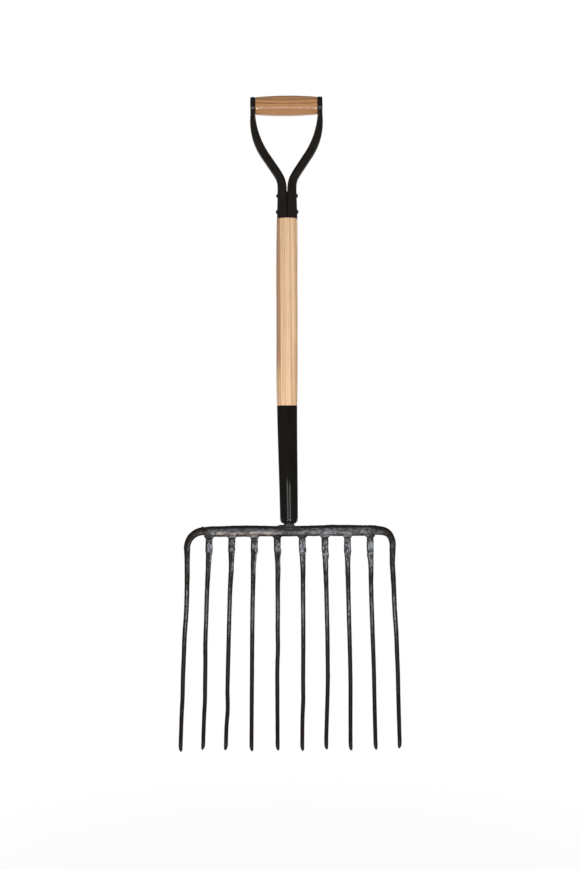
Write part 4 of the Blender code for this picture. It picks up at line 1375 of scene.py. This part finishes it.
def make_world():
    """A white backdrop behind the object in a dim room, and an even soft light on the object."""
    world = bpy.data.worlds.new("studio")
    world.use_nodes = True
    tree = world.node_tree
    tree.nodes.clear()
    soft = add(tree, "ShaderNodeBackground", {"Color": WHITE, "Strength": WORLD_LEVEL})
    way = add(tree, "ShaderNodeTexCoord").outputs["Generated"]
    forward = coordinates(way)[1]
    level = seen_level(ramp(forward, 0.975, 0.780))
    seen = is_seen_ray(tree)
    show_white(tree, seen, soft, "ShaderNodeBackground", level, "ShaderNodeOutputWorld")
    bpy.context.scene.world = world


def make_floor():
    """A plain pale floor that shows white and keeps a soft shadow."""
    half = FLOOR_SIZE / 2
    plan = ((-half, -half), (half, -half), (half, half), (-half, half))
    corners = [(x, y, FLOOR_Z) for x, y in plan]
    mesh = bpy.data.meshes.new("floor")
    mesh.from_pydata(corners, [], [(0, 1, 2, 3)])
    floor = new_object("floor", mesh)
    made = bpy.data.materials.new("floor_white")
    made.use_nodes = True
    tree = made.node_tree
    tree.nodes.clear()
    matt = add(tree, "ShaderNodeBsdfDiffuse", {"Color": FLOOR_WHITE})
    place = add(tree, "ShaderNodeTexCoord").outputs["Object"]
    back = coordinates(place)[1]
    level = seen_level(ramp(back, 1.50, 0.30))
    reach = vector_node("DISTANCE", place, (0, 0, FLOOR_Z))["Value"]
    share = times(is_seen_ray(tree), ramp(reach, 0.40, 1.00, 0.88, 1.0))
    show_white(tree, share, matt, "ShaderNodeEmission", level, "ShaderNodeOutputMaterial")
    mesh.materials.append(made)


def make_lamp(name, place, aim, width, height, power, in_gloss=True):
    """A soft lamp at place, turned to aim. The camera doesn't see it, though gloss may show it."""
    data = bpy.data.lights.new(name, "AREA")
    data.shape = "RECTANGLE"
    data.size = width
    data.size_y = height
    data.energy = power
    lamp = new_object(name, data)
    lamp.location = place
    lamp.rotation_mode = "QUATERNION"
    lamp.rotation_quaternion = (Vector(aim) - Vector(place)).to_track_quat("-Z", "Y")
    lamp.visible_camera = False
    lamp.visible_glossy = in_gloss


def make_lamps():
    """A low strip and a low bank in front, and on each side a lamp, two strips and a rim light."""
    make_lamp("grip_strip", (0, -2.0, -1.10), (0, 0, 0), 0.9, 0.10, 4.8)
    make_lamp("low_bank", (0, -0.95, -1.27), (0, 0, -0.77), 1.0, 0.16, 0.12)
    for side in (-1, 1):
        make_lamp("low_lamp", (side * 0.50, -1.2, -1.12), (0, 0, -0.70), 0.08, 0.08, 3.6)
        beside = (0.03 + side * 0.32, -1.2, -0.79)
        make_lamp("ferrule_strip", beside, (0, 0, -0.68), 0.36, 0.13, 0.30)
        make_lamp("low_strip", (side * 0.44, -1.2, -1.14), (0, 0, -0.90), 0.05, 0.40, 0.04)
        make_lamp("rim", (side * 1.4, 0.9, -0.45), (0, 0, -0.45), 0.5, 1.4, 3.0, False)


def make_pieces():
    """Every piece of the fork with its finish."""
    yoke_paint = satin_paint("satin_black", "yoke_paint")
    rivet_paint = satin_paint("satin_black_rivet", "rivet_steel")
    head_paint = forged_paint("hammered_black")
    make_hand_grip(grip_wood())
    make_grip_rivet(rivet_paint)
    make_yoke(yoke_paint)
    make_cross_rivet("socket_rivet_upper", "yoke_rivet_upper", UPPER_RIVET_Z, rivet_paint)
    make_cross_rivet("socket_rivet_lower", "yoke_rivet_lower", LOWER_RIVET_Z, rivet_paint)
    make_shaft(shaft_wood())
    make_ferrule(gloss_paint())
    make_fork_head(head_paint)
    for number in range(TINES):
        make_tine(number, head_paint)


make_camera()
make_world()
make_floor()
make_lamps()
make_pieces()
bpy.context.scene.view_settings.view_transform = "Standard"
